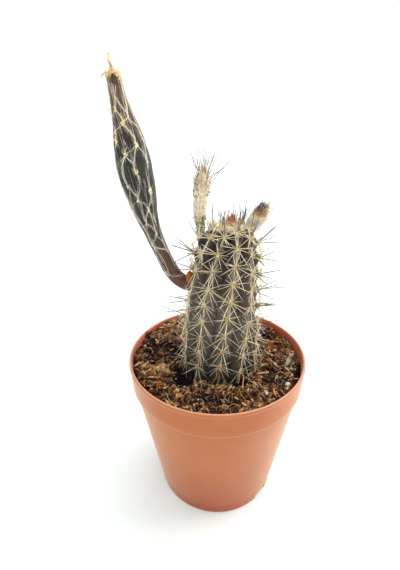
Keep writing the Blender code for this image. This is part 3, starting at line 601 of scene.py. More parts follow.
def fibre(name, stops, roughness=0.6, glow=0.15):
    """Spines, hairs, wool and dry petals: dead plant fibre that lets a little light through. The tone at
    each point picks the colour, and noise a third of a millimetre across breaks it up."""
    made, tree, shader, place = finish(name, Roughness=roughness, Specular_IOR_Level=0.4,
                                       Subsurface_Weight=glow, Subsurface_Scale=0.5 * MM,
                                       Subsurface_Radius=(1.0, 0.8, 0.6))
    tone = add(tree, "Attribute", attribute_name="tone")
    grain = add(tree, "TexNoise", place, Scale=1 / (0.33 * MM), Detail=2.0)
    colour = add(tree, "ValToRGB", varied(tree, tone, grain, 0.16), stops=stops)
    plug(tree, shader.inputs["Base Color"], colour)
    return made


def cork_finish():
    """Cork: dry, orange brown, finely cracked and quite matt."""
    made, tree, shader, place = finish("orange_brown_cork", Roughness=0.85, Specular_IOR_Level=0.25)
    # Cork cells in clumps 0.5 mm across.
    cells = add(tree, "TexVoronoi", place, Scale=1 / (0.5 * MM), feature="DISTANCE_TO_EDGE")
    colour = add(tree, "ValToRGB", cells, stops=((0.0, "#84441F"), (0.14, "#A75A2C"), (0.6, "#B86D39")))
    plug(tree, shader.inputs["Base Color"], colour)
    bump = add(tree, "Bump", Strength=0.5, Distance=0.1 * MM, Height=cells)
    plug(tree, shader.inputs["Normal"], bump)
    return made


def dry_leaf():
    """A dry leaf sliver: grey green, matt, with pale veins along it."""
    made, tree, shader, place = finish("dry_grey_green_leaf", Roughness=0.7, Specular_IOR_Level=0.3)
    tone = add(tree, "Attribute", attribute_name="tone")
    grain = add(tree, "TexNoise", place, Scale=1 / (0.6 * MM), Detail=4.0)
    stops = ((0.1, "#5A6156"), (0.5, "#8C958A"), (0.95, "#B4BAAE"))
    colour = add(tree, "ValToRGB", varied(tree, tone, grain, 0.5), stops=stops)
    plug(tree, shader.inputs["Base Color"], colour)
    bump = add(tree, "Bump", Strength=0.4, Distance=0.1 * MM, Height=grain)
    plug(tree, shader.inputs["Normal"], bump)
    return made


def matt_card():
    """White card of the floor: quite matt, and lit softly from below, as on a light table."""
    made, tree, shader, place = finish("matt_white_card", Roughness=0.95, Specular_IOR_Level=0.1,
                                       Emission_Color="#F4FEFD", Emission_Strength=0.07)
    tooth = add(tree, "TexNoise", place, Scale=1 / (1.5 * MM), Detail=2.0)
    colour = add(tree, "ValToRGB", tooth, stops=((0.3, "#F1FBFA"), (0.7, "#F4FEFD")))
    plug(tree, shader.inputs["Base Color"], colour)
    return made


def wall_profile(steps):
    """Radius and height down the pot's outside, from the foot up, and over the lip down the inside to the
    floor. It has steps points between the slot's top and the ledge on each side."""
    wall = np.linspace(0.0, 1.0, steps)[:, None]
    outer_low, outer_high = np.array((19.8, SLOT_TOP)), np.array((WALL_TOP_R, COLLAR_Z - 0.15))
    inner_low, inner_high = np.array((18.85, SLOT_TOP)), np.array((25.3, COLLAR_Z - 1.0))
    foot_out = np.array([(SLOT_IN_R, 0.0), (17.6, 0.0), (18.95, 0.0), (19.4, 0.06), (19.64, 0.25),
                         (19.74, 0.6)])
    foot_in = np.array([(18.8, 1.62), (18.68, 1.35), (18.45, 1.12), (18.1, POT_FLOOR), (17.2, POT_FLOOR),
                        (SLOT_IN_R, POT_FLOOR)])
    ledge = np.array([(WALL_TOP_R + 0.28, COLLAR_Z - 0.06), (26.72, COLLAR_Z), (26.9, COLLAR_Z + 0.12),
                      (27.0, COLLAR_Z + 0.4), (27.07, 43.6), (27.2, 46.4), (27.28, 48.6)])
    lip = np.array([(27.33, 48.95), (27.44, 49.15), (POT_RIM_R, 49.4), (27.47, 49.66), (27.36, 49.85),
                    (27.2, 49.96), (27.0, POT_HEIGHT), (26.84, 49.94), (26.73, 49.8), (26.66, 49.5)])
    collar_in = np.array([(26.5, 47.8), (26.32, 45.2), (26.15, 42.8), (26.05, 42.0), (25.8, 41.4),
                          (25.5, 41.0)])
    return np.concatenate([foot_out, outer_low + (outer_high - outer_low) * wall, ledge, lip, collar_in,
                           inner_high + (inner_low - inner_high) * wall, foot_in])


def drain_floor(z):
    """Points of the floor inside the slots' radius at height z: three sectors, each lofted in equal steps
    from the round drain hole in its middle out to the sector's two straight sides and its arc."""
    arc_count, side_count, loft = POT_COLUMNS // 3, 24, 9
    sheets = []
    for n in range(3):
        start = math.radians(POT_START + 120.0 * n)
        arc = start + np.arange(arc_count) * math.radians(360.0 / POT_COLUMNS)
        rim = SLOT_IN_R * np.stack([np.cos(arc), np.sin(arc)], axis=1)
        share = (np.arange(side_count) / side_count)[:, None]
        ends = [SLOT_IN_R * np.array([math.cos(a), math.sin(a)]) for a in (start, start + math.tau / 3)]
        outline = np.concatenate([rim, ends[1] * (1 - share), ends[0] * share])
        middle = start + math.pi / 3
        hub = DRAIN_PITCH_R * np.array([math.cos(middle), math.sin(middle)])
        circle = hub + DRAIN_R * unit(outline - hub)
        t = (np.arange(loft + 1) / loft)[:, None, None]
        flat = circle[None] * (1 - t) + outline[None] * t
        sheets.append(np.dstack([flat, np.full(flat.shape[:2], z)]))
    return sheets


def make_pot():
    """The moulded pot: its profile turned about Z, a little out of round, with the cells at the corner slots
    left out and their sides closed from the outer wall to the inner, and three drain holes in its floor."""
    profile = wall_profile(steps=12)
    rows = len(profile)
    angle = np.radians(np.arange(POT_COLUMNS) * 360.0 / POT_COLUMNS + POT_START)
    r, z = profile[:, :1], profile[:, 1:]
    r = r + 0.04 * np.sin(3 * angle + 1.0) * clipped(z / 40.0)
    points = [np.stack([r * np.cos(angle), r * np.sin(angle), z + 0 * angle], axis=-1).reshape(-1, 3)]
    quads = grid_quads(rows, POT_COLUMNS)
    row, column = quads[:, 0] // POT_COLUMNS, quads[:, 0] % POT_COLUMNS
    middle = np.degrees(angle[column]) + 180.0 / POT_COLUMNS
    low = (row < SLOT_ROWS) | (row >= rows - 1 - SLOT_ROWS)
    away = np.min([np.abs((middle - a + 180) % 360 - 180) for a in SLOT_ANGLES], axis=0)
    cut = low & (away < SLOT_HALF_ANGLE)
    faces = [quads[~cut]]
    slot_columns = np.unique(column[cut])
    # Strips close each slot's top and bottom, and then its two sides.
    beside = (slot_columns + 1) % POT_COLUMNS
    for outer, inner in ((SLOT_ROWS, rows - 1 - SLOT_ROWS), (0, rows - 1)):
        faces.append(np.stack([outer * POT_COLUMNS + slot_columns, outer * POT_COLUMNS + beside,
                               inner * POT_COLUMNS + beside, inner * POT_COLUMNS + slot_columns], axis=1))
    starts = slot_columns[~np.isin((slot_columns - 1) % POT_COLUMNS, slot_columns)]
    stops = (slot_columns[~np.isin((slot_columns + 1) % POT_COLUMNS, slot_columns)] + 1) % POT_COLUMNS
    step = np.arange(SLOT_ROWS)
    for edge in np.concatenate([starts, stops]):
        outer, inner = step * POT_COLUMNS + edge, (rows - 1 - step) * POT_COLUMNS + edge
        faces.append(np.stack([outer, outer + POT_COLUMNS, inner - POT_COLUMNS, inner], axis=1))
    for low_sheet, high_sheet in zip(drain_floor(0.0), drain_floor(POT_FLOOR)):
        for sheet in (low_sheet, high_sheet, np.stack([low_sheet[0], high_sheet[0]])):
            faces.append(grid_quads(len(sheet), sheet.shape[1]) + sum(len(p) for p in points))
            points.append(sheet.reshape(-1, 3))
    points = np.concatenate(points)
    # What the finish reads for its painted glow and painted highlight: the wall inside the lip's crest, and a
    # bell two rows wide over the crest.
    crest_row = np.argmax(profile[:, 1])
    row_of = np.minimum(np.arange(len(points)) // POT_COLUMNS, rows)
    inside = (row_of > crest_row + 1) & (points[:, 2] > POT_FLOOR + 0.2)
    lip = np.exp(-(((row_of - crest_row) / 2.0) ** 2))
    # Points that meet become one.
    cells = np.round(points / POT_MERGE).astype(int)
    _, kept, same = np.unique(cells, axis=0, return_index=True, return_inverse=True)
    same = same.ravel()
    made = piece("pot_shell", points[kept], [same[f] for f in faces], polypropylene(), "terracotta_plastic",
                 "pot", sharp=50, inside=0.85 * inside[kept], lip=0.8 * lip[kept])
    outward(made)


def outward(made):
    """Turns every face of a closed mesh outwards."""
    bm = bmesh.new()
    bm.from_mesh(made.data)
    bmesh.ops.dissolve_degenerate(bm, edges=bm.edges, dist=0.001 * MM)
    bmesh.ops.recalc_face_normals(bm, faces=bm.faces)
    bm.to_mesh(made.data)
    bm.free()


def profile_table():
    """Fine table of the stem's crest profile: length from the crown's tip, radius and height."""
    path = smooth_line(STEM_PROFILE, 600)
    length = np.concatenate([[0.0], np.cumsum(np.linalg.norm(np.diff(path, axis=0), axis=1))])
    return length, np.maximum(path[:, 0], 0.0), path[:, 1]


PROFILE = profile_table()


def from_crown(row):
    """Length along the profile from the crown's tip to areole row number row: rows crowd near the tip."""
    crowded = row - CROWN_CROWDING * (1 - np.exp(-row / CROWN_CROWDING))
    return AREOLE_PITCH * crowded + CROWN_EDGE * np.minimum(row, 1.0)


def stem_axis_x(z):
    """Where the leaning stem's axis is along X at height z."""
    return np.interp(z, *STEM_LEAN)


def rib_angle(rib, z):
    """Angle of a rib's line in degrees. The ribs lean with height. The front ones spread by up to 6 degrees
    in a bell about RIB_LEVEL, and crowd by up to 10 over a smooth step at the crown's shoulder."""
    lean = RIB_START + RIB_LEAN * (z - RIB_LEVEL)
    spread = 6.0 * np.exp(-(((z - RIB_LEVEL) / 6.0) ** 2)) - 10.0 / (1 + np.exp(-(z - 84.5) / 1.2))
    turn = 360.0 / RIB_COUNT * rib
    return lean + turn + spread * np.sin(np.radians(turn))


def stem_point(rib, length, off=0.0):
    """The stem's surface at a rib coordinate, whole on crests, and a length from the crown's tip. The ribs
    follow |cos|^0.75, and fade out over the crown's last 8 mm and down in the peat."""
    table_length, table_r, table_z = PROFILE
    r = np.interp(length, table_length, table_r)
    z = np.interp(length, table_length, table_z)
    fade = clipped(length / 8.0) * clipped((z - 41.0) / 5.0)
    crest = np.abs(np.cos(math.pi * rib)) ** 0.75
    r = r - RIB_DEPTH * fade * (1 - crest) + off
    angle = np.radians(rib_angle(rib, z))
    return np.stack([stem_axis_x(z) + r * np.cos(angle), r * np.sin(angle), z], axis=-1)


def areole_rows(first, last):
    """Rib and row numbers of the areoles between two rows."""
    pairs = [(rib, row) for rib, start in enumerate(AREOLE_STARTS) for row in np.arange(start, last, 1.0)]
    rib, row = np.array(pairs).T
    return rib[row >= first], row[row >= first]


def areoles():
    """Place, outward, up and side directions and row number of each areole from the crown to the peat."""
    rib, row = areole_rows(FIRST_ROW, LAST_ROW)
    length = from_crown(row)
    here = stem_point(rib, length)
    up = unit(stem_point(rib, length - 0.6) - here)
    outward_way = unit((here - np.stack([stem_axis_x(here[:, 2]), 0 * rib, here[:, 2]], axis=1)) * (1, 1, 0))
    side = unit(np.cross(up, outward_way))
    outward_way = unit(np.cross(side, up))
    keep = here[:, 2] > SOIL_Z + 1.0
    return here[keep], outward_way[keep], up[keep], side[keep], row[keep]


def soil_top(x, y):
    """Height of the peat: waves 9 and 4.5 mm long, a bank that rises to the wall as a smooth step, most at
    the back, and a bell-shaped hollow at the stem's left front."""
    hollow = np.exp(-(((x + 6.0) / 7.0) ** 2) - ((y + 11.0) / 5.0) ** 2)
    out = clipped((np.hypot(x, y) - BANK_FOOT_R) / (BANK_TOP_R - BANK_FOOT_R))
    bank = (BANK_RISE + 0.06 * y) * out * out * (3 - 2 * out)
    bumps = 0.8 * waves(x, y, seed=3, size=9.0) + 0.6 * waves(x, y, seed=8, size=4.5)
    return SOIL_Z + bumps - 1.2 * hollow - 0.03 * y + bank


def inner_wall_r(z):
    """Radius of the pot's inner wall at height z."""
    return np.interp(z, (POT_FLOOR, COLLAR_Z - 1.0, COLLAR_Z + 0.4, POT_HEIGHT), (18.8, 25.25, 26.1, 26.6))


def bed_marks(x, y):
    """Rise and paleness of the bed's clods and hollows: a sum of round bells exp(-d²/r²), one for each, where
    a hollow's negative paleness is painted shade.
    """
    rise, pale = 0.0, 0.0
    for clod_x, clod_y, radius, height, tone in CLODS:
        bell = np.exp(-((x - clod_x) ** 2 + (y - clod_y) ** 2) / radius**2)
        rise, pale = rise + height * bell, pale + tone * bell
    for hollow_x, hollow_y, radius, depth in HOLLOWS:
        bell = np.exp(-((x - hollow_x) ** 2 + (y - hollow_y) ** 2) / radius**2)
        # Painted shade: a hollow darkens the tone as well as sinking the surface.
        rise, pale = rise - depth * bell, pale - 0.3 * bell
    return rise, pale


def bed_tone(x, y):
    """Tone of the peat, 0 black to 1 tan: patches 7 and 3 mm across, paler on clods, and darker with painted
    shade in hollows.
    """
    patches = 0.15 * waves(x, y, seed=71, size=7.0) + 0.12 * waves(x, y, seed=72, size=3.0)
    return 0.515 + 0.002 * y + patches + bed_marks(x, y)[1]


def bed_relief(x, y):
    """Crumbly relief of the peat: waves 3, 1.2 and 0.7 mm long."""
    clumps = 0.6 * waves(x, y, seed=31, size=3.0, count=9)
    crumbs = 0.32 * waves(x, y, seed=32, size=1.2, count=11)
    return clumps + crumbs + 0.16 * waves(x, y, seed=33, size=0.7, count=11)


def bed_top(x, y):
    """The peat's surface as seen: soil_top, its clods and hollows, its relief, and a gap by the wall at the
    right, a bell across the wall's radius where the peat has dried and drawn back."""
    apart = INNER_RIM_R - np.hypot(x, y)
    to_right = clipped(1.6 * x / np.maximum(np.hypot(x, y), 1.0) - 0.5)
    gap = DRY_GAP * to_right * np.exp(-((apart / 1.1) ** 2))
    return soil_top(x, y) + bed_relief(x, y) + bed_marks(x, y)[0] - gap


PEAT_STOPS = ((0.0, "#120E11"), (0.25, "#2A1F21"), (0.42, "#4D3830"), (0.6, "#806049"), (0.76, "#B78B5F"),
              (0.88, "#D6AF78"), (1.0, "#E6CEA2"))


def make_bed():
    """The peat: from the stem's foot out to the wall in a fine grid, then down inside the pot and back up
    the stem's hole, all closed."""
    columns, rings = 370, 98
    angle = all_round(columns)
    hub = np.array([STEM_FOOT_X, 0.0])
    rim_r = float(inner_wall_r(SOIL_Z + BANK_RISE)) - 0.12
    heading = np.stack([np.cos(angle), np.sin(angle)], axis=-1)
    # How far the wall is from the stem's axis along each heading.
    reach = -heading @ hub + np.sqrt((heading @ hub) ** 2 + rim_r**2 - hub @ hub)
    share = (np.linspace(0.0, 1.0, rings) ** 0.95)[:, None]
    far = STEM_HOLE_R + (reach - STEM_HOLE_R) * share
    x, y = hub[0] + far * heading[:, 0], hub[1] + far * heading[:, 1]
    top = np.stack([x, y, bed_top(x, y)], axis=-1)
    # Radius and height down the pot's inside, and down the stem's hole.
    below = [(25.75, 42.0), (24.85, 40.6), (24.0, 34.0), (18.45, 2.2), (17.75, 1.35)]
    hole = [(5.1, 36.27), (8.05, 38.2), (9.55, 41.8), (STEM_HOLE_R, 44.0)]
    under = [np.stack([r * heading[:, 0], r * heading[:, 1], 0 * angle + h], axis=-1) for r, h in below]
    inside = [np.stack([hub[0] + r * heading[:, 0], r * heading[:, 1], 0 * angle + h], axis=-1)
              for r, h in hole]
    rows = np.stack([*under[::-1], *top[::-1], *inside[::-1]])
    ends = np.array([[(0.0, 0.0, below[-1][1]), (hub[0], 0.0, hole[0][1])]])
    rough = bed_relief(rows[..., 0], rows[..., 1])
    # Painted shade and light: the tone is darker in the relief's low places and paler on its high ones.
    tone = np.clip(bed_tone(rows[..., 0], rows[..., 1]) - 0.2 + 0.3 * rough, 0.0, 0.9)
    # Under the surface the peat is evenly dark.
    tone = np.where(rows[..., 2] < 43.0, 0.2, tone)
    coat = soil_finish("milled_peat", PEAT_STOPS, bump_size=0.35)
    body_piece("peat_bed", (rows[None], ends), coat, "peat_mix", "soil", tone=tone[None])


def scatter(rng, count, inner=LOOSE_IN_R, outer=LOOSE_OUT_R):
    """Places evenly spread over the ring of peat between the stem and the wall, fewer in the hollows."""
    r = np.sqrt(rng.uniform(inner**2, outer**2, count))
    angle = rng.uniform(0, math.tau, count)
    x, y = r * np.cos(angle), r * np.sin(angle)
    keep = (np.hypot(x - STEM_FOOT_X, y) > inner - 0.3) & (np.hypot(x, y) < outer)
    keep &= rng.uniform(0, 0.6, count) > -bed_marks(x, y)[0]
    return x[keep], y[keep]


def make_crumbs():
    """Crumbs of peat, mostly 0.5 to 2 mm long, sunk a little in the bed, each near the peat's tone there."""
    rng = default_rng(41)
    x, y = scatter(rng, 7200)
    count = len(x)
    size = rng.gamma(4.0, 0.073, count).clip(0.13, 0.7)
    sizes = size[:, None] * rng.uniform(0.5, 1.4, (count, 3)) * (1.7, 0.65, 0.6)
    places = np.stack([x, y, bed_top(x, y) + 0.25 * sizes[:, 2]], axis=1)
    crumbs = grains(rng, places, sizes, tilt=0.9, dent=0.45)
    # Five shades of crumb, from black peat to pale bark, and most of them in between.
    shift = rng.choice((-0.26, -0.1, 0.04, 0.2, 0.36), count, p=(0.18, 0.27, 0.3, 0.18, 0.07))
    tone = bed_tone(x, y) + shift
    # Painted shade and light: crumbs in the relief's low places are darker, and those on its high ones paler.
    tone = clipped(tone + rng.uniform(-0.05, 0.05, count) + 0.22 * bed_relief(x, y) - 0.02)
    coat = soil_finish("peat_crumbs", PEAT_STOPS, bump_size=0.2)
    body_piece("peat_crumbs", crumbs, coat, "peat_mix", "soil", smooth=False, tone=tone)


def make_flakes():
    """Thin flakes of composted bark 1.2 to 3.6 mm long, striped along their fibres."""
    rng = default_rng(54)
    x, y = scatter(rng, 620)
    count = len(x)
    length = rng.uniform(0.6, 1.8, count)
    width = length * rng.uniform(0.15, 0.42, count)
    sizes = np.stack([length, width, rng.uniform(0.1, 0.24, count)], axis=1)
    places = np.stack([x, y, bed_top(x, y) + 0.2], axis=1)
    rows, columns = 4, 8
    flakes = grains(rng, places, sizes, tilt=0.7, rows=rows, columns=columns, dent=0.2)
    # The stripes: each column of a flake has its own tone.
    tone = bed_tone(x, y) + rng.uniform(-0.25, 0.36, count)
    stripes = rng.uniform(-0.2, 0.2, (count, 1, columns))
    tone = tone[:, None, None] + stripes + rng.uniform(-0.05, 0.05, (count, rows, columns))
    coat = soil_finish("composted_bark", PEAT_STOPS, bump_size=0.25)
    body_piece("bark_flakes", flakes, coat, "peat_mix", "soil", smooth=False, tone=clipped(tone))


def make_fibres():
    """Coir fibres 2 to 7 mm long that arch over the bed in a parabola and dip back into it."""
    rng = default_rng(42)
    x, y = scatter(rng, 820, inner=11.6, outer=24.4)
    count, rings = len(x), 9
    t = np.linspace(-1.0, 1.0, rings)
    heading = rng.uniform(0, math.tau, count)
    half = rng.uniform(0.9, 3.6, count)
    bend = rng.uniform(-1.1, 1.1, count)
    way = heading[:, None] + bend[:, None] * t
    px = x[:, None] + half[:, None] * np.cos(way) * t
    py = y[:, None] + half[:, None] * np.sin(way) * t
    # Drawn in from the wall, and left out at the stem.
    shrink = np.minimum(1.0, 25.3 / np.hypot(px, py))
    px, py = px * shrink, py * shrink
    rise = rng.uniform(0.3, 1.0, count)[:, None] * (1 - t**2) - 0.15
    paths = np.stack([px, py, bed_top(px, py) + rise], axis=-1)
    paths = paths[np.hypot(px - STEM_FOOT_X, py).min(axis=1) > LOOSE_IN_R]
    thick = rng.uniform(0.04, 0.12, len(paths))[:, None] * np.sqrt(1.02 - 0.7 * t**2)
    tone = rng.choice((0.4, 0.7, 0.85, 0.97), len(paths), p=(0.2, 0.3, 0.3, 0.2))
    coat = soil_finish("coir_fibre", PEAT_STOPS, bump_size=0.05, roughness=0.8)
    body_piece("coir_fibres", tubes(paths, thick, sides=3), coat, "peat_mix", "soil", tone=tone)


def make_roots():
    """Old roots that hang from the stem's lowest areoles into the peat, and a twig on it: bent tubes."""
    rng = default_rng(55)
    rings = 14
    t = np.linspace(0.0, 1.0, rings)[:, None]
    low, high = (np.array([root[n] for root in ROOTS]) for n in (1, 0))
    bend = rng.normal(0, 0.16, (len(ROOTS), 3)) * (1, 0.4, 0.6)
    kink = rng.normal(0, 0.12, (len(ROOTS), 3))
    paths = (high[:, None] + (low - high)[:, None] * t + bend[:, None] * np.sin(math.pi * t)
             + kink[:, None] * np.sin(3 * math.pi * t))
    thick = np.array([root[2] for root in ROOTS])[:, None] * rng.uniform(0.75, 1.2, (len(ROOTS), rings))
    tone = np.array([root[3] for root in ROOTS])[:, None] + rng.uniform(-0.08, 0.08, (len(ROOTS), rings))
    stops = ((0.0, "#4C3A2E"), (0.5, "#9A7C5A"), (0.8, "#C2A878"), (1.0, "#DCCBA0"))
    coat = soil_finish("dry_root", stops, bump_size=0.1, roughness=0.8)
    body_piece("old_roots", tubes(paths, thick, sides=7), coat, "peat_mix", "soil", tone=tone)


def make_grit():
    """Perlite grains at their places, 0.5 to 1.9 mm across, and fine pale grit, most at the front rim."""
    rng = default_rng(43)
    big = np.array(PERLITE)
    x, y = scatter(rng, 1100, inner=11.5)
    chance = np.interp(y - 0.25 * x, (-20.0, -13.0, 0.0), (0.95, 0.4, 0.12))
    kept = rng.uniform(0, 1, len(x)) < chance
    x, y = x[kept], y[kept]
    size = np.concatenate([big[:, 2] / 2, rng.uniform(0.1, 0.27, len(x))])
    x, y = np.concatenate([big[:, 0], x]), np.concatenate([big[:, 1], y])
    sizes = size[:, None] * rng.uniform(0.75, 1.3, (len(x), 3))
    places = np.stack([x, y, bed_top(x, y) + 0.2 + 0.25 * size], axis=1)
    grit = grains(rng, places, sizes, tilt=3.0, rows=3, columns=7, dent=0.25)
    # The perlite is white, and the rest tan to pale.
    tone = np.concatenate([rng.uniform(0.8, 1.0, len(big)), rng.uniform(0.0, 0.8, len(x) - len(big))])
    stops = ((0.0, "#96744A"), (0.4, "#C0A172"), (0.75, "#E0D2AE"), (1.0, "#F1EEE4"))
    coat = soil_finish("expanded_perlite", stops, bump_size=0.1, roughness=0.9)
    body_piece("perlite_and_grit", grit, coat, "peat_mix", "soil", smooth=False, tone=tone)


def make_stem():
    """The ribbed skin: stem_point with a bell-shaped swelling under every areole and a dip between, fine
    wrinkles 1.4 mm apart, and deeper ones low down that run up and down. Its finish reads the height, the
    groove between two ribs, which it darkens with painted shade, and the rib's crest."""
    columns, rows = 240, 220
    rib = np.arange(columns) * RIB_COUNT / columns
    full = PROFILE[0][-1]
    length = full * (1 - np.linspace(0.0, 1.0, rows + 2)[1:-1])[:, None]
    table = np.linspace(0.0, 12.0, 600)
    row = np.interp(length, from_crown(table), table)
    nearest = np.rint(rib)
    start = np.array(AREOLE_STARTS)[nearest.astype(int) % RIB_COUNT]
    to_areole = (row - start + 0.5) % 1.0 - 0.5
    beside = rib - nearest
    swell = np.exp(-((beside / 0.2) ** 2) - (to_areole / 0.26) ** 2) * clipped((row - 1.2) / 1.5)
    dip = np.exp(-((beside / 0.25) ** 2) - ((np.abs(to_areole) - 0.5) / 0.12) ** 2)
    around = rib * RIB_WIDTH + 0 * length
    wrinkle = 0.05 * waves(around, length + 0 * rib, seed=51, size=1.4, count=9)
    low_down = clipped((length - 30.0) / 12.0)
    wrinkle = wrinkle + 0.1 * waves(around, 0.35 * length, seed=52, size=1.6, count=7) * low_down
    off = 0.5 * swell - 0.22 * dip + wrinkle
    off = off * clipped(length / 3.0)
    rings = stem_point(rib + 0 * length, length + 0 * rib, off)
    ends = np.array([[stem_point(0.0, full), stem_point(0.0, 0.0)]])
    high = clipped((rings[..., 2] - 48.0) / 38.0)
    groove = clipped((np.abs(beside) - 0.24) / 0.26) ** 1.3 + 0 * length
    crest = np.exp(-((beside / 0.17) ** 2)) * (1 - 0.5 * clipped((length - 8.0) / 30.0))
    body_piece("stem_skin", (rings[None], ends), epidermis(), "cactus_skin", "stem", high=high[None],
               groove=groove[None], crest=crest[None])


def make_felt():
    """Areole cushions: low felt ovals on each swelling, darker in the middle, with short hairs all over."""
    rng = default_rng(44)
    place, out, up, side, row = areoles()
    count, rings, columns = len(place), 6, 14
    young = clipped(0.55 + row / 9.0)
    wide, tall = 0.5 * young, 0.8 * young
    t = (np.arange(rings) + 0.5) / rings
    angle = all_round(columns)
    ragged = 1 + rng.uniform(-0.12, 0.12, (count, 1, columns))
    ragged = ragged + rng.uniform(-0.08, 0.08, (count, rings, columns))
    reach = np.cos(t * math.pi / 2)[:, None] * ragged
    across = (side[:, None, None] * (np.cos(angle) * wide[:, None, None] * reach)[..., None]
              + up[:, None, None] * (np.sin(angle) * tall[:, None, None] * reach)[..., None])
    lift = (0.05 + 0.72 * np.sin(t * math.pi / 2))[None, :, None, None]
    seat = place + out * 0.2
    body = seat[:, None, None] + across + out[:, None, None] * lift
    ends = np.stack([seat, seat + out * 0.8], axis=1)
    tone = clipped(0.85 - 0.5 * t)[None] + rng.uniform(-0.4, 0.12, (count, 1))
    stops = ((0.0, "#A3703A"), (0.3, "#CFA668"), (0.6, "#E6D0A0"), (1.0, "#F4ECD2"))
    felt = fibre("areole_felt", stops, roughness=0.95, glow=0.1)
    body_piece("areole_cushions", (body, ends), felt, "cactus_skin", "stem", tone=tone)
    # Short felt hairs, 0.4 to 0.8 mm long.
    each, steps = 27, 3
    turn, far = rng.uniform(0, math.tau, (count, each)), np.sqrt(rng.uniform(0, 1, (count, each)))
    spot = (side[:, None] * (np.cos(turn) * far * wide[:, None])[..., None]
            + up[:, None] * (np.sin(turn) * far * tall[:, None])[..., None])
    lift = 0.62 * np.sqrt(1 - 0.9 * far**2)
    root = seat[:, None] + spot + out[:, None] * lift[..., None]
    splay = unit(spot) * (0.9 * far)[..., None] + rng.normal(0, 0.25, (count, each, 3))
    heading = unit(out[:, None] + splay)
    reach = rng.uniform(0.4, 0.8, (count, each, 1))
    t = np.linspace(0, 1, steps)[:, None]
    paths = (root[:, :, None] + heading[:, :, None] * reach[:, :, None] * t).reshape(-1, steps, 3)
    radii = np.tile((0.056, 0.044, 0.014), (len(paths), 1))
    tone = rng.uniform(0.35, 1.0, len(paths))
    body_piece("areole_hairs", tubes(paths, radii, sides=3), felt, "cactus_skin", "stem", tone=tone)


def beads_of(frame, extra=0.0):
    """Points with a radius along a tube, to test what lies clear of it."""
    return np.hstack([frame[0][::4], frame[4][::4, None] + extra])


def keep_clear(paths, beads, gap):
    """True for each path that stays gap or more clear of all the beads."""
    spread = paths[:, :, None] - beads[None, None, :, :3]
    apart = np.sqrt((spread**2).sum(axis=-1)) - beads[None, None, :, 3]
    return apart[:, 1:].min(axis=(1, 2)) > gap


def spine_paths(root, heading, length, bend, rings):
    """Paths that leave the root along heading and curve by bend, a vector at the tip."""
    t = np.linspace(0.0, 1.0, rings)[:, None]
    return root[:, None] + heading[:, None] * length[:, None, None] * t + bend[:, None] * t**2


def above_soil(paths):
    """Lifts each path's points that would lie in the peat to just above it."""
    x, y, z = np.moveaxis(paths, -1, 0)
    beside_stem = np.hypot(x - STEM_FOOT_X, y) <= 10.6
    lifted = np.where(beside_stem, z, np.maximum(z, soil_top(x, y) + 0.7))
    return np.stack([x, y, lifted], axis=-1)


def taper(count, radius, rings, tip=0.15):
    """Radii (spine, ring) that shrink from radius to a share tip of it."""
    t = np.linspace(0.0, 1.0, rings)
    return np.broadcast_to(radius, count)[:, None] * (1 - (1 - tip) * t**1.3)


CREAM_SPINE = ((0.0, "#B4884F"), (0.12, "#E0C389"), (0.3, "#F6E6BC"), (0.55, "#FBF2D8"), (0.78, "#DCC7A6"),
               (1.0, "#A38A76"))
DARK_SPINE = ((0.0, "#B79A70"), (0.25, "#8F7868"), (0.6, "#735F5C"), (1.0, "#554548"))
BRISTLE = ((0.0, "#D2BC94"), (0.3, "#A8937E"), (0.7, "#85736A"), (1.0, "#6A5B58"))


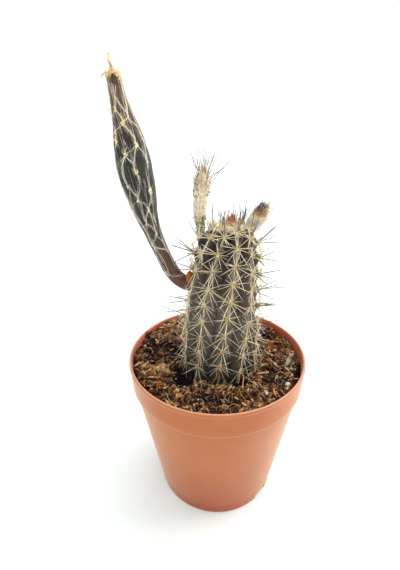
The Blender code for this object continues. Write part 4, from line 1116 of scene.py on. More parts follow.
def make_spines(beads):
    """At every areole, thirteen or so radial spines that stand 10 to 36 degrees off the skin, and one or two
    central spines. Each is spine_paths with a taper."""
    rng = default_rng(45)
    place, out, up, side, row = areoles()
    count, each = len(place), 14
    seat = place + out * 0.72
    turn = math.tau * (np.arange(each) + rng.uniform(0, 1, (count, 1))) / each
    turn = turn + rng.uniform(-0.24, 0.24, (count, each))
    level = up[:, None] * np.cos(turn)[..., None] + side[:, None] * np.sin(turn)[..., None]
    rise = np.radians(rng.uniform(10.0, 36.0, (count, each)))[..., None]
    heading = level * np.cos(rise) + out[:, None] * np.sin(rise)
    young = clipped(0.42 + row / 6.0)[:, None]
    # Full-grown ones are about 4.9 mm long, and those that point down are the longest.
    droop = (0.15 + 0.015 * row)[:, None] * np.cos(turn)
    length = 4.9 * young * rng.uniform(0.6, 1.2, (count, each)) * (1.08 - droop)
    there = rng.uniform(0, 1, (count, each)) < 0.93
    root = seat[:, None] + level * 0.35 - out[:, None] * 0.25
    bend = out[:, None] * rng.uniform(-0.45, 0.15, (count, each, 1)) + rng.normal(0, 0.09, (count, each, 3))
    rings = 6
    paths = above_soil(spine_paths(root[there], heading[there], length[there], bend[there], rings))
    paths = paths[keep_clear(paths, beads, 0.12)]
    # Those of the old areoles near the foot are the thinnest.
    slim = np.interp(paths[:, 0, 2], (50.0, 70.0), (0.74, 1.0))
    radii = taper(len(paths), slim * rng.uniform(0.06, 0.125, len(paths)), rings, tip=0.25)
    t = np.linspace(0, 1, rings)
    # About a third of them are tan to mauve, and the rest cream.
    tan = rng.uniform(0, 1, (len(paths), 1)) < 0.32
    shift = np.where(tan, rng.uniform(0.2, 0.5, tan.shape), rng.uniform(-0.06, 0.1, tan.shape))
    tone = clipped(0.06 + 0.4 * t[None] ** 0.6 + shift)
    coat = fibre("cream_cactus_spine", CREAM_SPINE, roughness=0.5)
    body_piece("radial_spines", tubes(paths, radii, sides=4), coat, "cactus_skin", "stem", tone=tone)
    # Central spines 4 to 7 mm long, one or two at each areole, and those that reach LONG_SPINE_TIPS.
    pick = np.concatenate([np.arange(count), rng.permutation(count)[: count // 3]])
    tilt = np.radians(rng.uniform(-20.0, 32.0, len(pick)))[:, None]
    swing = np.radians(rng.uniform(-28.0, 28.0, len(pick)))[:, None]
    heading = unit(out[pick] * np.cos(tilt) + up[pick] * np.sin(tilt) + side[pick] * np.sin(swing))
    # Those near the crown stand up.
    heading = unit(heading + np.where(row[pick] < 3.2, 1.3, 0.0)[:, None] * (0, 0, 1))
    length = rng.uniform(4.2, 7.4, len(pick)) * np.where(row[pick] > 8, 0.75, 1.0)
    root = seat[pick] - out[pick] * 0.3
    tips = np.array(LONG_SPINE_TIPS)
    nearest = np.argmin(np.linalg.norm(tips[:, None] - (place + out * 3.0)[None], axis=2), axis=1)
    reach = tips - (seat[nearest] - out[nearest] * 0.3)
    root = np.concatenate([root, tips - reach])
    heading = np.concatenate([heading, unit(reach)])
    length = np.concatenate([length, np.linalg.norm(reach, axis=1)])
    bend = rng.normal(0, 0.22, (len(root), 3))
    bend[-len(tips):] *= 0.5
    rings = 7
    paths = above_soil(spine_paths(root, heading, length, bend, rings))
    paths = paths[keep_clear(paths, beads, 0.2)]
    radii = taper(len(paths), 0.16, rings, tip=0.5)
    tone = clipped(1.1 * np.linspace(0, 1, rings))[None] + rng.uniform(-0.12, 0.12, (len(paths), 1))
    coat = fibre("dark_cactus_spine", DARK_SPINE, roughness=0.45, glow=0.05)
    body_piece("central_spines", tubes(paths, radii, sides=6), coat, "cactus_skin", "stem", tone=tone)


def make_crown(beads):
    """The crown between the buds: on every young areole a low tuft of wool and fourteen short, thick cream
    spines, some with brown tips, and dark young spines that stand up from some of them."""
    rng = default_rng(46)
    rib, row = areole_rows(*CROWN_ROWS)
    seat = stem_point(rib, from_crown(row), off=0.1)
    # The tufts face away from a point on the axis about 10 mm below the tip.
    middle = np.array([stem_axis_x(85.0), 0.0, 80.0])
    out = unit(seat - middle)
    # Wool hairs 0.4 to 0.8 mm long.
    each, rings = 40, 4
    aside = rng.normal(0, 0.34, (len(seat), each, 3))
    aside = aside - out[:, None] * (aside * out[:, None]).sum(axis=-1, keepdims=True)
    root = (seat[:, None] + aside).reshape(-1, 3)
    heading = unit(out[:, None] + 1.3 * aside + rng.normal(0, 0.3, aside.shape)).reshape(-1, 3)
    length = rng.uniform(0.4, 0.8, len(root))
    paths = spine_paths(root, heading, length, rng.normal(0, 0.2, root.shape), rings)
    paths = paths[keep_clear(paths, beads, 0.0)]
    hair = tubes(paths, taper(len(paths), 0.1, rings, tip=0.4), sides=3)
    stops = ((0.0, "#9A6A3C"), (0.25, "#E2C28C"), (0.6, "#F8E6BC"), (1.0, "#FDF6DF"))
    coat = fibre("crown_wool", stops, roughness=0.9)
    body_piece("crown_wool", hair, coat, "pale_wool", "stem", tone=rng.uniform(0.45, 1.0, len(paths)))
    # Cream spines 0.8 to 1.9 mm long.
    pick = np.repeat(np.arange(len(seat)), 14)
    root = seat[pick] + 0.15 * out[pick] + rng.normal(0, 0.3, (len(pick), 3))
    heading = unit(out[pick] + rng.normal(0, 0.55, root.shape) + (0, 0, 0.15))
    rings = 6
    length = rng.uniform(0.8, 1.9, len(pick))
    paths = spine_paths(root, heading, length, rng.normal(0, 0.1, root.shape), rings)
    paths = paths[keep_clear(paths, beads, 0.05)]
    radii = taper(len(paths), rng.uniform(0.1, 0.17, len(paths)), rings, tip=0.4)
    t = np.linspace(0, 1, rings)
    brown = rng.uniform(0, 1, (len(paths), 1)) < 0.4
    browning = np.where(brown, 0.75 * clipped(3.2 * t - 2.0), 0)
    tone = clipped(0.98 - 0.12 * t - browning + rng.uniform(-0.1, 0.02, brown.shape))
    stops = ((0.0, "#532A1A"), (0.25, "#8A4A28"), (0.5, "#D2A165"), (0.72, "#F1DFB2"), (1.0, "#FAF2DA"))
    coat = fibre("young_cactus_spine", stops, roughness=0.5)
    body_piece("crown_spines", tubes(paths, radii, sides=5), coat, "rust_spines", "stem", tone=tone)
    # Dark ones stand up from a third of the tufts, 2.4 to 5 mm long, and longer ones reach CROWN_SPINE_TIPS.
    pick = rng.permutation(len(seat))[: len(seat) // 3]
    heading = unit(out[pick] + (0, 0, 0.6) + rng.normal(0, 0.2, (len(pick), 3)))
    length = rng.uniform(2.4, 5.0, len(pick))
    tips = np.array(CROWN_SPINE_TIPS)
    aim = seat + 5.0 * unit(out + (0, 0, 0.5))
    nearest = np.argmin(np.linalg.norm(tips[:, None] - aim[None], axis=2), axis=1)
    reach = tips - seat[nearest]
    root = np.concatenate([seat[pick], seat[nearest]])
    heading = np.concatenate([heading, unit(reach)])
    length = np.concatenate([length, np.linalg.norm(reach, axis=1)])
    rings = 7
    paths = spine_paths(root, heading, length, rng.normal(0, 0.12, heading.shape), rings)
    paths = paths[keep_clear(paths, beads, 0.1)]
    radii = taper(len(paths), 0.115, rings, tip=0.55)
    tone = clipped(np.linspace(-0.1, 0.8, rings) + rng.uniform(-0.1, 0.1, (len(paths), 1)))
    coat = fibre("dark_young_spine", DARK_SPINE, roughness=0.45, glow=0.05)
    body_piece("dark_crown_spines", tubes(paths, radii, sides=6), coat, "rust_spines", "stem", tone=tone)


# The net on the pod's front, as the photograph shows it. Each knot has its place across, from the left edge,
# -1, to the right one, 1, its share of the length from the root, and the size of its tuft.
FRONT_KNOTS = (
    (0.45, 1.0, 0.0), (-0.1, 0.92, 0.3), (-0.35, 0.88, 0.8), (0.95, 0.99, 0.0), (0.65, 0.84, 0.6),
    (0.1, 0.82, 1.0), (-0.97, 0.84, 0.6), (-0.65, 0.795, 0.5), (-0.65, 0.76, 1.0), (0.6, 0.735, 0.8),
    (-0.15, 0.7, 0.6), (0.97, 0.765, 0.6), (0.88, 0.66, 0.3), (0.25, 0.63, 0.6), (-0.92, 0.65, 0.3),
    (-0.42, 0.58, 0.3), (0.78, 0.54, 1.0), (-0.05, 0.52, 0.5), (-0.8, 0.47, 0.3), (0.5, 0.465, 0.4),
    (0.0, 0.41, 0.3), (-0.5, 0.39, 0.3), (0.55, 0.34, 0.6), (-0.45, 0.29, 0.5), (0.88, 0.24, 0.2),
    (-0.65, 0.14, 0.2), (-0.88, 0.535, 0.2), (-0.15, 0.77, 0.0), (0.97, 0.07, 0.0), (-0.77, 0.21, 0.1),
    (0.1, 1.0, 0.0), (0.9, 0.15, 0.0), (-0.25, 0.125, 0.0), (-0.9, 0.36, 0.1), (0.8, 0.4, 0.2),
)
# Each strand joins two of those knots. It bows to the right by a share across, and has a strength.
FRONT_STRANDS = (
    (1, 0, 0.1, 0.8), (1, 30, -0.05, 0.6), (2, 1, 0.0, 0.9), (4, 3, 0.1, 1.0), (4, 3, 0.35, 0.6),
    (4, 1, 0.05, 1.0), (6, 2, -0.05, 0.6), (5, 2, 0.05, 1.2), (5, 4, 0.0, 1.0), (11, 4, 0.15, 0.7),
    (14, 6, -0.05, 0.8), (7, 6, 0.0, 0.5), (7, 5, -0.1, 0.6), (8, 7, 0.0, 1.2), (9, 5, 0.05, 1.0),
    (9, 4, 0.12, 0.5), (10, 8, 0.0, 0.4), (14, 8, -0.1, 0.6), (10, 27, 0.03, 0.6), (10, 9, 0.0, 0.4),
    (13, 9, -0.15, 0.8), (12, 9, 0.1, 0.7), (12, 11, 0.05, 0.7), (13, 10, 0.1, 0.8), (15, 10, -0.28, 1.2),
    (14, 10, 0.0, 0.4), (17, 13, 0.15, 0.8), (16, 13, 0.0, 0.4), (16, 12, 0.05, 0.7), (17, 15, 0.05, 1.2),
    (18, 15, 0.1, 0.6), (26, 14, -0.03, 0.7), (18, 26, 0.0, 0.7), (18, 17, -0.05, 0.5), (20, 17, 0.0, 0.8),
    (19, 17, 0.05, 0.6), (19, 16, 0.1, 0.8), (21, 18, 0.0, 0.8), (20, 19, 0.0, 0.6), (22, 19, 0.1, 0.8),
    (22, 20, 0.15, 0.7), (23, 20, -0.15, 0.8), (23, 21, 0.0, 0.9), (23, 22, 0.0, 0.8), (24, 22, 0.1, 0.7),
    (24, 23, 0.05, 1.2), (31, 24, 0.05, 0.9), (32, 23, 0.3, 0.9), (28, 25, 0.0, 1.2), (29, 23, 0.0, 0.5),
    (25, 29, 0.0, 0.6), (33, 18, 0.0, 0.6), (29, 33, 0.0, 0.5), (34, 16, 0.05, 0.6), (24, 34, 0.05, 0.6),
    (21, 20, 0.0, 0.5), (34, 19, 0.0, 0.5),
)


def ripple(turn, run, seed, count=6):
    """Slow bumps from about -1 to 1 that close on themselves round the pod: a sum of seeded waves."""
    draw = random.Random(seed)
    total = 0.0
    for _ in range(count):
        around, along, start = draw.randint(1, 5), draw.uniform(-24.0, 24.0), draw.uniform(0, math.tau)
        total = total + np.sin(math.tau * around * turn + along * run + start)
    return total / math.sqrt(2 * count)


def net_of_pod(rng):
    """The net's knots as (turn, run, tuft), and its strands as (lower knot, upper knot, bow, strength).
    Behind, where the photograph shows nothing, rows of knots stand half a step apart, each joined to two in
    the row above."""
    across, front_run, front_tuft = np.array(FRONT_KNOTS).T
    front_turn = 0.75 - np.arcsin(across) / math.tau
    row, column = (part.ravel() for part in np.meshgrid(np.arange(11), np.arange(4), indexing="ij"))
    back_turn = 0.06 + 0.105 * column + 0.05 * (row % 2) + rng.normal(0, 0.012, len(row))
    back_run = np.interp(row, (0, 1, 9, 10), (0.08, 0.22, 0.84, 0.98)) + rng.normal(0, 0.008, len(row))
    back_tuft = rng.choice((0.0, 0.2, 0.4, 0.8), len(row)) * ((row > 0) & (row < 10))
    turn = np.concatenate([front_turn, back_turn])
    run = np.concatenate([front_run, np.minimum(back_run, 0.99)])
    tuft = np.concatenate([front_tuft, back_tuft])
    first = len(across)
    lower = first + np.flatnonzero(row < 10)
    strands = [np.array(FRONT_STRANDS)]
    for way in (-0.052, 0.052):
        aim_run = run[lower] + np.where(row[lower - first] == 0, 0.14, 0.078)
        round_off = (turn[None] - turn[lower, None] - way + 0.5) % 1.0 - 0.5
        # The pod is about 26 mm round.
        off = np.hypot(26.0 * round_off, POD_LENGTH * (run[None] - aim_run[:, None]))
        off = np.where(run[None] > run[lower, None] + 0.03, off, 99.0)
        upper = np.argmin(off, axis=1)
        bow, strength = rng.uniform(-0.08, 0.08, len(lower)), rng.uniform(0.5, 1.1, len(lower))
        made = np.stack([lower, upper, bow, strength], axis=1)
        strands.append(made[off.min(axis=1) < 5.0])
    return turn, run, tuft, np.concatenate(strands)


def strand_lines(rng, turn, run, strands, steps):
    """Turn and run along every strand of the net: from knot to knot, eased to leave them lengthwise."""
    low, high = strands[:, 0].astype(int), strands[:, 1].astype(int)
    t = np.linspace(0.0, 1.0, steps)
    ease = 0.5 * t + 0.5 * t * t * (3 - 2 * t)
    step = ((turn[high] - turn[low] + 0.5) % 1.0 - 0.5)[:, None]
    bow = strands[:, 2:3] / math.tau
    shiver = rng.normal(0, 0.006, (len(strands), 2))
    swing = (shiver[:, :1] - bow) * np.sin(math.pi * t) + shiver[:, 1:] * np.sin(3 * math.pi * t)
    return turn[low][:, None] + step * ease + swing, run[low][:, None] + (run[high] - run[low])[:, None] * t


def make_pod(frame, net):
    """The spindle pod: its skin is pressed in along the net's strands, swollen between them and wrinkled
    lengthwise, with its mouth drawn in and up to a low cone that carries the style."""
    columns, rows = 192, 224
    turn, run = tube_grid(rows, columns)
    # The strands drawn on the skin's grid, then spread out evenly a few cells each way.
    line_turn, line_run = strand_lines(default_rng(57), *net[:2], net[3], 60)
    place = (np.clip(np.rint(line_run * (rows - 1)), 0, rows - 1).astype(int),
             np.rint(line_turn * columns).astype(int) % columns)
    pressed = np.zeros((rows, columns))
    np.maximum.at(pressed, place, np.broadcast_to(net[3][:, 3:4], line_turn.shape))
    for reach, axis in ((2, 0), (3, 1), (2, 0), (4, 1)):
        pressed = sum(np.roll(pressed, k, axis) for k in range(-reach, reach + 1)) / (2 * reach + 1)
    fade = clipped(run * 12.0) * clipped((1 - run) * 12.0)
    # Twenty-six wrinkles run along it, uneven and wavering.
    folds = 0.045 * np.sin(math.tau * 26 * turn + 2.2 * ripple(turn, run, seed=83))
    wrinkles = folds * (0.6 + 0.4 * ripple(turn, run, seed=89)) + 0.05 * ripple(2 * turn, run, seed=84)
    rings = on_tube(frame, turn, run, (0.12 - 0.9 * pressed + wrinkles) * fade + 0.05)
    # The cone's rings: how far above the rim, and how far inside the skin.
    cone = ((0.08, -0.18), (0.4, -0.5), (0.85, -0.85), (1.25, -1.1))
    over = np.stack([on_tube(frame, turn[-1], run[-1], inside) + (0, 0, rise) for rise, inside in cone])
    rings = np.concatenate([rings, over])
    turn, run = (np.concatenate([part, np.repeat(part[-1:], len(cone), axis=0)]) for part in (turn, run))
    ends = np.stack([frame[0][0], frame[0][-1] + (0, 0, 1.3)])[None]
    radius = along_frame(frame, run)[4]
    angle = math.tau * turn
    body_piece("pod_skin", (rings[None], ends), pod_finish(), "pod_skin", "seed_pod",
               east=(radius * np.cos(angle))[None], north=(radius * np.sin(angle))[None],
               reach=(run * POD_LENGTH / STREAK_STRETCH)[None], along=run[None])


NET_STOPS = ((0.0, "#7C6C5C"), (0.3, "#BAA898"), (0.6, "#E6D8C8"), (0.78, "#F2E6CA"), (0.92, "#F4DE8C"),
             (1.0, "#DDB85A"))


def make_pod_net(frame, net):
    """The net: raised dry strands of one thick and two thin cords, fine lines that spread from the knots,
    lengthwise fibres, and tufts of yellow or white fluff on the knots."""
    rng = default_rng(56)
    coat = fibre("dry_pod_fibre", NET_STOPS, roughness=0.8, glow=0.1)
    turn, run, tuft, strands = net
    steps = 20
    t = np.linspace(0, 1, steps)
    line_turn, line_run = strand_lines(default_rng(57), turn, run, strands, steps)
    cords, radii, tones = [], [], []
    for rank, radius in enumerate(NET_CORDS):
        aside = (rank > 0) * rng.normal(0, 0.013, (len(strands), 1)) * np.sin(math.pi * t)
        aside = aside + 0.0015 * np.sin(9 * t + rng.uniform(0, 6.3, (len(strands), 1)))
        cords.append(on_tube(frame, line_turn + aside, line_run, 0.07 + 0.02 * rank + 0 * line_run))
        # A strand is thicker at its ends, with its strength, and towards the mouth.
        flared = 1 + 0.5 * np.abs(2 * t - 1) ** 6
        broad = radius * np.interp(strands[:, 3:4], (0.3, 1.3), (0.5, 1.3)) * flared
        slim = np.interp(line_run, (0.0, 0.15, 0.45, 0.85, 0.93), (0.7, 0.9, 1.0, 1.0, 1.0))
        radii.append(broad * slim * rng.uniform(0.75, 1.2, (len(strands), steps)))
        pale = np.interp(line_run, (0.3, 0.6, 0.85), (0.64, 0.6, 0.78)) - 0.1 * (rank > 0)
        tones.append(pale + 0.12 * (strands[:, 3:4] - 0.8) + rng.uniform(-0.1, 0.1, (len(strands), 1)))
    cords = tubes(np.concatenate(cords), np.concatenate(radii), sides=4)
    tone = clipped(np.concatenate(tones))
    body_piece("pod_net", cords, coat, "pod_skin", "seed_pod", tone=tone)
    # Lines that spread from the knots, and lengthwise fibres: their start, reach, drift, radius and tone.
    spur = np.repeat(np.flatnonzero(tuft > 0), 9)
    fibres = 230
    start_turn = np.concatenate([turn[spur], rng.uniform(0, 1, fibres)])
    start_run = np.concatenate([run[spur], 0.05 + 0.72 * rng.uniform(0, 1, fibres) ** 1.5])
    reach = np.concatenate([rng.uniform(-0.035, 0.05, len(spur)), rng.uniform(0.06, 0.22, fibres)])
    drift = np.concatenate([rng.normal(0, 0.035, len(spur)), rng.normal(0, 0.006, fibres)])
    wide = np.concatenate([rng.uniform(0.02, 0.045, len(spur)), rng.uniform(0.016, 0.036, fibres)])
    shade = np.concatenate([rng.uniform(0.45, 0.8, len(spur)), rng.uniform(0.15, 0.66, fibres)])
    steps = 10
    t = np.linspace(0, 1, steps)
    wobble = 0.003 * np.sin(9 * t + rng.uniform(0, 6.3, (len(reach), 1)))
    turns = start_turn[:, None] + drift[:, None] * t + wobble
    paths = on_tube(frame, turns, start_run[:, None] + reach[:, None] * t, extra=0.1 + 0 * wobble)
    fibre_r = wide[:, None] * np.sqrt(1.04 - (2 * t - 1) ** 2 * 0.9)
    tone = clipped(shade[:, None] + rng.uniform(-0.1, 0.1, (len(reach), steps)))
    body_piece("pod_fibres", tubes(paths, fibre_r, sides=4), coat, "pod_skin", "seed_pod", tone=tone)
    # Tufts: a few small lumps, more on a larger one, drawn out along the pod.
    lump = np.repeat(np.arange(len(tuft)), np.rint(9 * tuft).astype(int))
    size = (0.6 + 0.6 * tuft[lump])[:, None]
    lump_run = run[lump] + rng.normal(0, 0.0055, len(lump)) * size[:, 0]
    spot = on_tube(frame, turn[lump] + rng.normal(0, 0.009, len(lump)) * size[:, 0], lump_run, 0.14)
    along = along_frame(frame, lump_run)[3]
    sizes = rng.uniform(0.12, 0.27, (len(spot), 3)) * (1, 1, 1.5) * size
    rings, ends = grains(rng, np.zeros_like(spot), sizes, tilt=0.4, rows=3, columns=6, dent=0.35)
    upright = np.tile((0.0, 0.0, 1.0), (len(spot), 1))
    spin = turned_about(unit(np.cross(upright, along)), np.arccos(along[:, 2]))
    rings = np.einsum("nij,nrcj->nrci", spin, rings) + spot[:, None, None]
    ends = np.einsum("nij,nej->nei", spin, ends) + spot[:, None]
    # White fluff below the middle, and yellow above.
    tone = np.interp(lump_run, (0.35, 0.5, 0.6), (0.74, 0.8, 0.88)) + rng.uniform(-0.08, 0.08, len(lump))
    body_piece("pod_knots", (rings, ends), coat, "pod_skin", "seed_pod", tone=tone)


def make_pod_hairs(frame, net):
    """Fine pale hairs that rise from the net's knots and lie along the pod, a down all over it that leans
    towards the mouth, and a few long ones that stand off."""
    rng = default_rng(47)
    from_knots, down = np.repeat(np.arange(len(net[0])), 5), 520
    count, steps = len(from_knots) + down, 6
    turn = np.concatenate([net[0][from_knots] + rng.normal(0, 0.006, len(from_knots)),
                           rng.uniform(0, 1, down)])
    run = np.concatenate([net[1][from_knots] + rng.uniform(-0.01, 0.03, len(from_knots)),
                          rng.uniform(0.04, 0.96, down)])
    t = np.linspace(0, 1, steps)
    of_down = np.arange(count) >= len(from_knots)
    reach = np.where(of_down, rng.uniform(0.02, 0.05, count), rng.uniform(0.05, 0.14, count))
    drift = rng.normal(0, 0.022, count)
    standing = rng.uniform(0, 1, count) < np.where(of_down, 0.12, 0.25)
    high, low = rng.uniform(0.8, 2.4, count), rng.uniform(0.15, 0.7, count)
    lift = np.where(standing, high, np.where(of_down, low, rng.uniform(0.02, 0.25, count)))
    runs = run[:, None] + reach[:, None] * t
    paths = on_tube(frame, turn[:, None] + drift[:, None] * t, runs, 0.1 + lift[:, None] * t**1.5)
    # A hair that passes the mouth goes on upwards.
    paths = paths + clipped(runs - 1.0)[..., None] * (0, 0, 30.0)
    radii = taper(count, np.where(of_down, 0.02, rng.uniform(0.025, 0.042, count)), steps, tip=0.4)
    tone = np.where(of_down, 0.1, rng.uniform(0.4, 1.0, count))
    stops = ((0.0, "#857D6C"), (0.5, "#D4CBB2"), (1.0, "#ECE7D8"))
    coat = fibre("pod_hair", stops, roughness=0.5, glow=0.3)
    body_piece("pod_hairs", tubes(paths, radii, sides=3), coat, "pod_skin", "seed_pod", tone=tone)


def make_mouth(frame):
    """The pod's dry mouth: withered petals folded up its cone all round, two scales folded down at the left,
    one with a dark tip, fluff along the rim, a dark scar under it, and the style's rest with its fluff."""
    rng = default_rng(48)
    mouth = frame[0][-1]
    stops = ((0.0, "#2E2320"), (0.2, "#8C5428"), (0.5, "#D6A45C"), (0.8, "#EDD49A"), (1.0, "#F8EFD0"))
    coat = fibre("dry_flower_remains", stops, roughness=0.7, glow=0.25)
    # Petals: flat strips from the rim up to the waist of the style.
    count, steps = 14, 8
    turn = (np.arange(count) + rng.uniform(-0.25, 0.25, count)) / count
    root = on_tube(frame, turn, rng.uniform(0.975, 0.995, count), 0.14)
    waist = mouth + (-0.1, 0.0, 1.6)
    t = np.linspace(0, 1, steps)[:, None]
    bulge = unit((root - mouth) * (1, 1, 0))[:, None] * (0.3 * np.sin(math.pi * t))
    paths = root[:, None] * (1 - t) + waist * t + bulge + rng.normal(0, 0.06, (count, 1, 3)) * t
    radii = rng.uniform(0.34, 0.46, count)[:, None] * np.interp(t[:, 0], (0, 0.25, 1), (0.5, 1.0, 0.4))
    sides = 6
    petals = tubes(paths, radii, sides, flat=0.35, broad=unit((root - mouth) * (1, 1, 0)))
    petal_tone = rng.uniform(0.42, 0.72, (count, 1)) + 0.12 * t.T
    # Two scales fold down at the left, one broad and tan and one thin with a dark tip.
    low = mouth + np.array([(-0.7, -1.35, 0.25), (-1.15, -0.5, 0.35)])
    way = np.array([(-0.35, -0.25, -1.2), (-1.45, -0.15, -0.9)])
    paths = low[:, None] + way[:, None] * t + np.array((0, 0, 0.3)) * np.sin(math.pi * t)
    radii = np.array([(0.62,), (0.25,)]) * (1 - 0.75 * t[:, 0] ** 2)
    scales = tubes(paths, radii, sides, flat=0.5, broad=np.array([(0.0, -1.0, 0.3), (0.0, 0.0, 1.0)]))
    scale_tone = np.array([(0.62,), (0.5,)]) - np.array([(0.1,), (0.5,)]) * clipped(2.4 * t.T - 0.9)
    # Fluff along the rim, most of it at the right.
    fluff = 70
    at_right = rng.uniform(0, 1, fluff) < 0.55
    turn = np.where(at_right, rng.uniform(0.42, 0.62, fluff), rng.uniform(0, 1, fluff))
    seat = on_tube(frame, turn, rng.uniform(0.955, 1.0, fluff), 0.0)
    away = unit(seat - mouth) * (1, 1, 0) * rng.uniform(0.1, 0.6, (fluff, 1))
    way = unit(away + rng.normal(0, 0.2, (fluff, 3)) + (0, 0, 0.8))
    paths = spine_paths(seat, way, rng.uniform(0.4, 1.0, fluff), rng.normal(0, 0.12, (fluff, 3)), steps)
    fine = tubes(paths, taper(fluff, rng.uniform(0.035, 0.07, fluff), steps, tip=0.3), sides)
    fine_tone = np.repeat(rng.uniform(0.6, 0.9, (fluff, 1)), steps, axis=1)
    rings, ends = (np.concatenate(parts) for parts in zip(petals, scales, fine))
    tone = clipped(np.concatenate([petal_tone, scale_tone, fine_tone]))
    body_piece("pod_mouth", (rings, ends), coat, "pod_skin", "seed_pod", tone=tone)
    # The dark scar: a flattened ball let into the neck under the rim.
    _, side, up, along, _ = along_frame(frame, np.array([SCAR_RUN]))
    angle = math.tau * SCAR_TURN
    out = side * math.cos(angle) + up * math.sin(angle)
    ways = np.stack([np.cross(out, along)[0], along[0], out[0]])
    rings, ends = grains(rng, np.zeros((1, 3)), np.array([SCAR_SIZE]), tilt=0.0, rows=9, columns=24,
                         dent=0.05, heading=np.zeros(1))
    spot = on_tube(frame, np.array([SCAR_TURN]), np.array([SCAR_RUN]))
    dark = fibre("dark_dry_scar", stops, roughness=0.8, glow=0.0)
    body_piece("pod_scar", (rings @ ways + spot, ends @ ways + spot), dark, "pod_skin", "seed_pod",
               tone=np.array([0.04]))
    # The style: a broad foot, a thin brown waist and a pale flame.
    steps = 18
    path = smooth_line(np.array(STYLE_LINE) + (*mouth, 0.0), steps)
    share = np.linspace(0, 1, steps)
    style = tubes(path[None, :, :3], path[None, :, 3], sides=9)
    tone = np.interp(share, (0, 0.2, 0.35, 0.5, 0.65, 1.0), (0.6, 0.6, 0.22, 0.25, 0.75, 0.95))[None]
    body_piece("pod_style", style, coat, "pod_skin", "seed_pod", tone=tone)
    # Fluff round the flame, and three long hairs from its tip.
    count, steps = 110, 5
    long_ones = np.arange(count) < 3
    at = np.where(long_ones, 0.97, rng.uniform(0.55, 0.98, count))
    spot = np.stack([np.interp(at, share, path[:, k]) for k in range(3)], axis=1)
    heading = unit(rng.normal(0, 0.38, (count, 3)) * (1, 1, 0.3) + (0, 0, 0.9))
    length = np.where(long_ones, 1.7, rng.uniform(0.35, 0.85, count))
    paths = spine_paths(spot, heading, length, rng.normal(0, 0.14, (count, 3)), steps)
    fine = tubes(paths, taper(count, np.where(long_ones, 0.025, 0.05), steps, tip=0.3), sides=4)
    body_piece("style_fluff", fine, coat, "pod_skin", "seed_pod", tone=rng.uniform(0.7, 1.0, count))


def hairs(rng, frame, count, between, length, lean, curl, bunch=1.0, turns=(0.0, 1.0)):
    """Paths of hairs on a bud, and the share of its length where each starts: they leave its skin between
    two shares, run towards its tip and lift off by lean, a range of slopes. A bunch below 1 gathers them
    towards the last share, and turns is a range round the bud."""
    first, last = between
    run = first + (last - first) * rng.uniform(0, 1, count) ** bunch
    turn = rng.uniform(*turns, count)
    middle, _, _, along, _ = along_frame(frame, run)
    skin = on_tube(frame, turn, run)
    out = unit(skin - middle)
    heading = unit(along + out * rng.uniform(*lean, count)[:, None] + rng.normal(0, 0.06, (count, 3)))
    reach = rng.uniform(*length, count)
    root = skin - out * HAIR_SUNK
    return spine_paths(root, heading, reach, rng.normal(0, curl, (count, 3)), HAIR_RINGS), run


def bud_core(frame, columns=48, rows=60, relief=0.1):
    """Rings and ends of a spindle body with overlapping scales, bumps on a diagonal lattice of angle and
    length, and the share of its length and the bump at each of its points."""
    turn, run = tube_grid(rows, columns)
    scale = np.cos(math.tau * (5 * turn + 7 * run)) * np.cos(math.tau * (5 * turn - 7 * run))
    rings = on_tube(frame, turn, run, relief * scale - 0.12)
    return (rings[None], frame[0][[0, -1]][None]), run, scale


def bunch_of(name, groups, coat, slot, node):
    """One piece from groups of hairs: their paths, radius at the base, the tip's share of it, and tones."""
    made = [tubes(paths, taper(len(paths), radius, HAIR_RINGS, tip), HAIR_SIDES)
            for paths, radius, tip, _ in groups]
    rings, ends = (np.concatenate(parts) for parts in zip(*made))
    tones = [np.broadcast_to(tone, paths.shape[:2]) for paths, _, _, tone in groups]
    body_piece(name, (rings, ends), coat, slot, node, tone=clipped(np.concatenate(tones)))


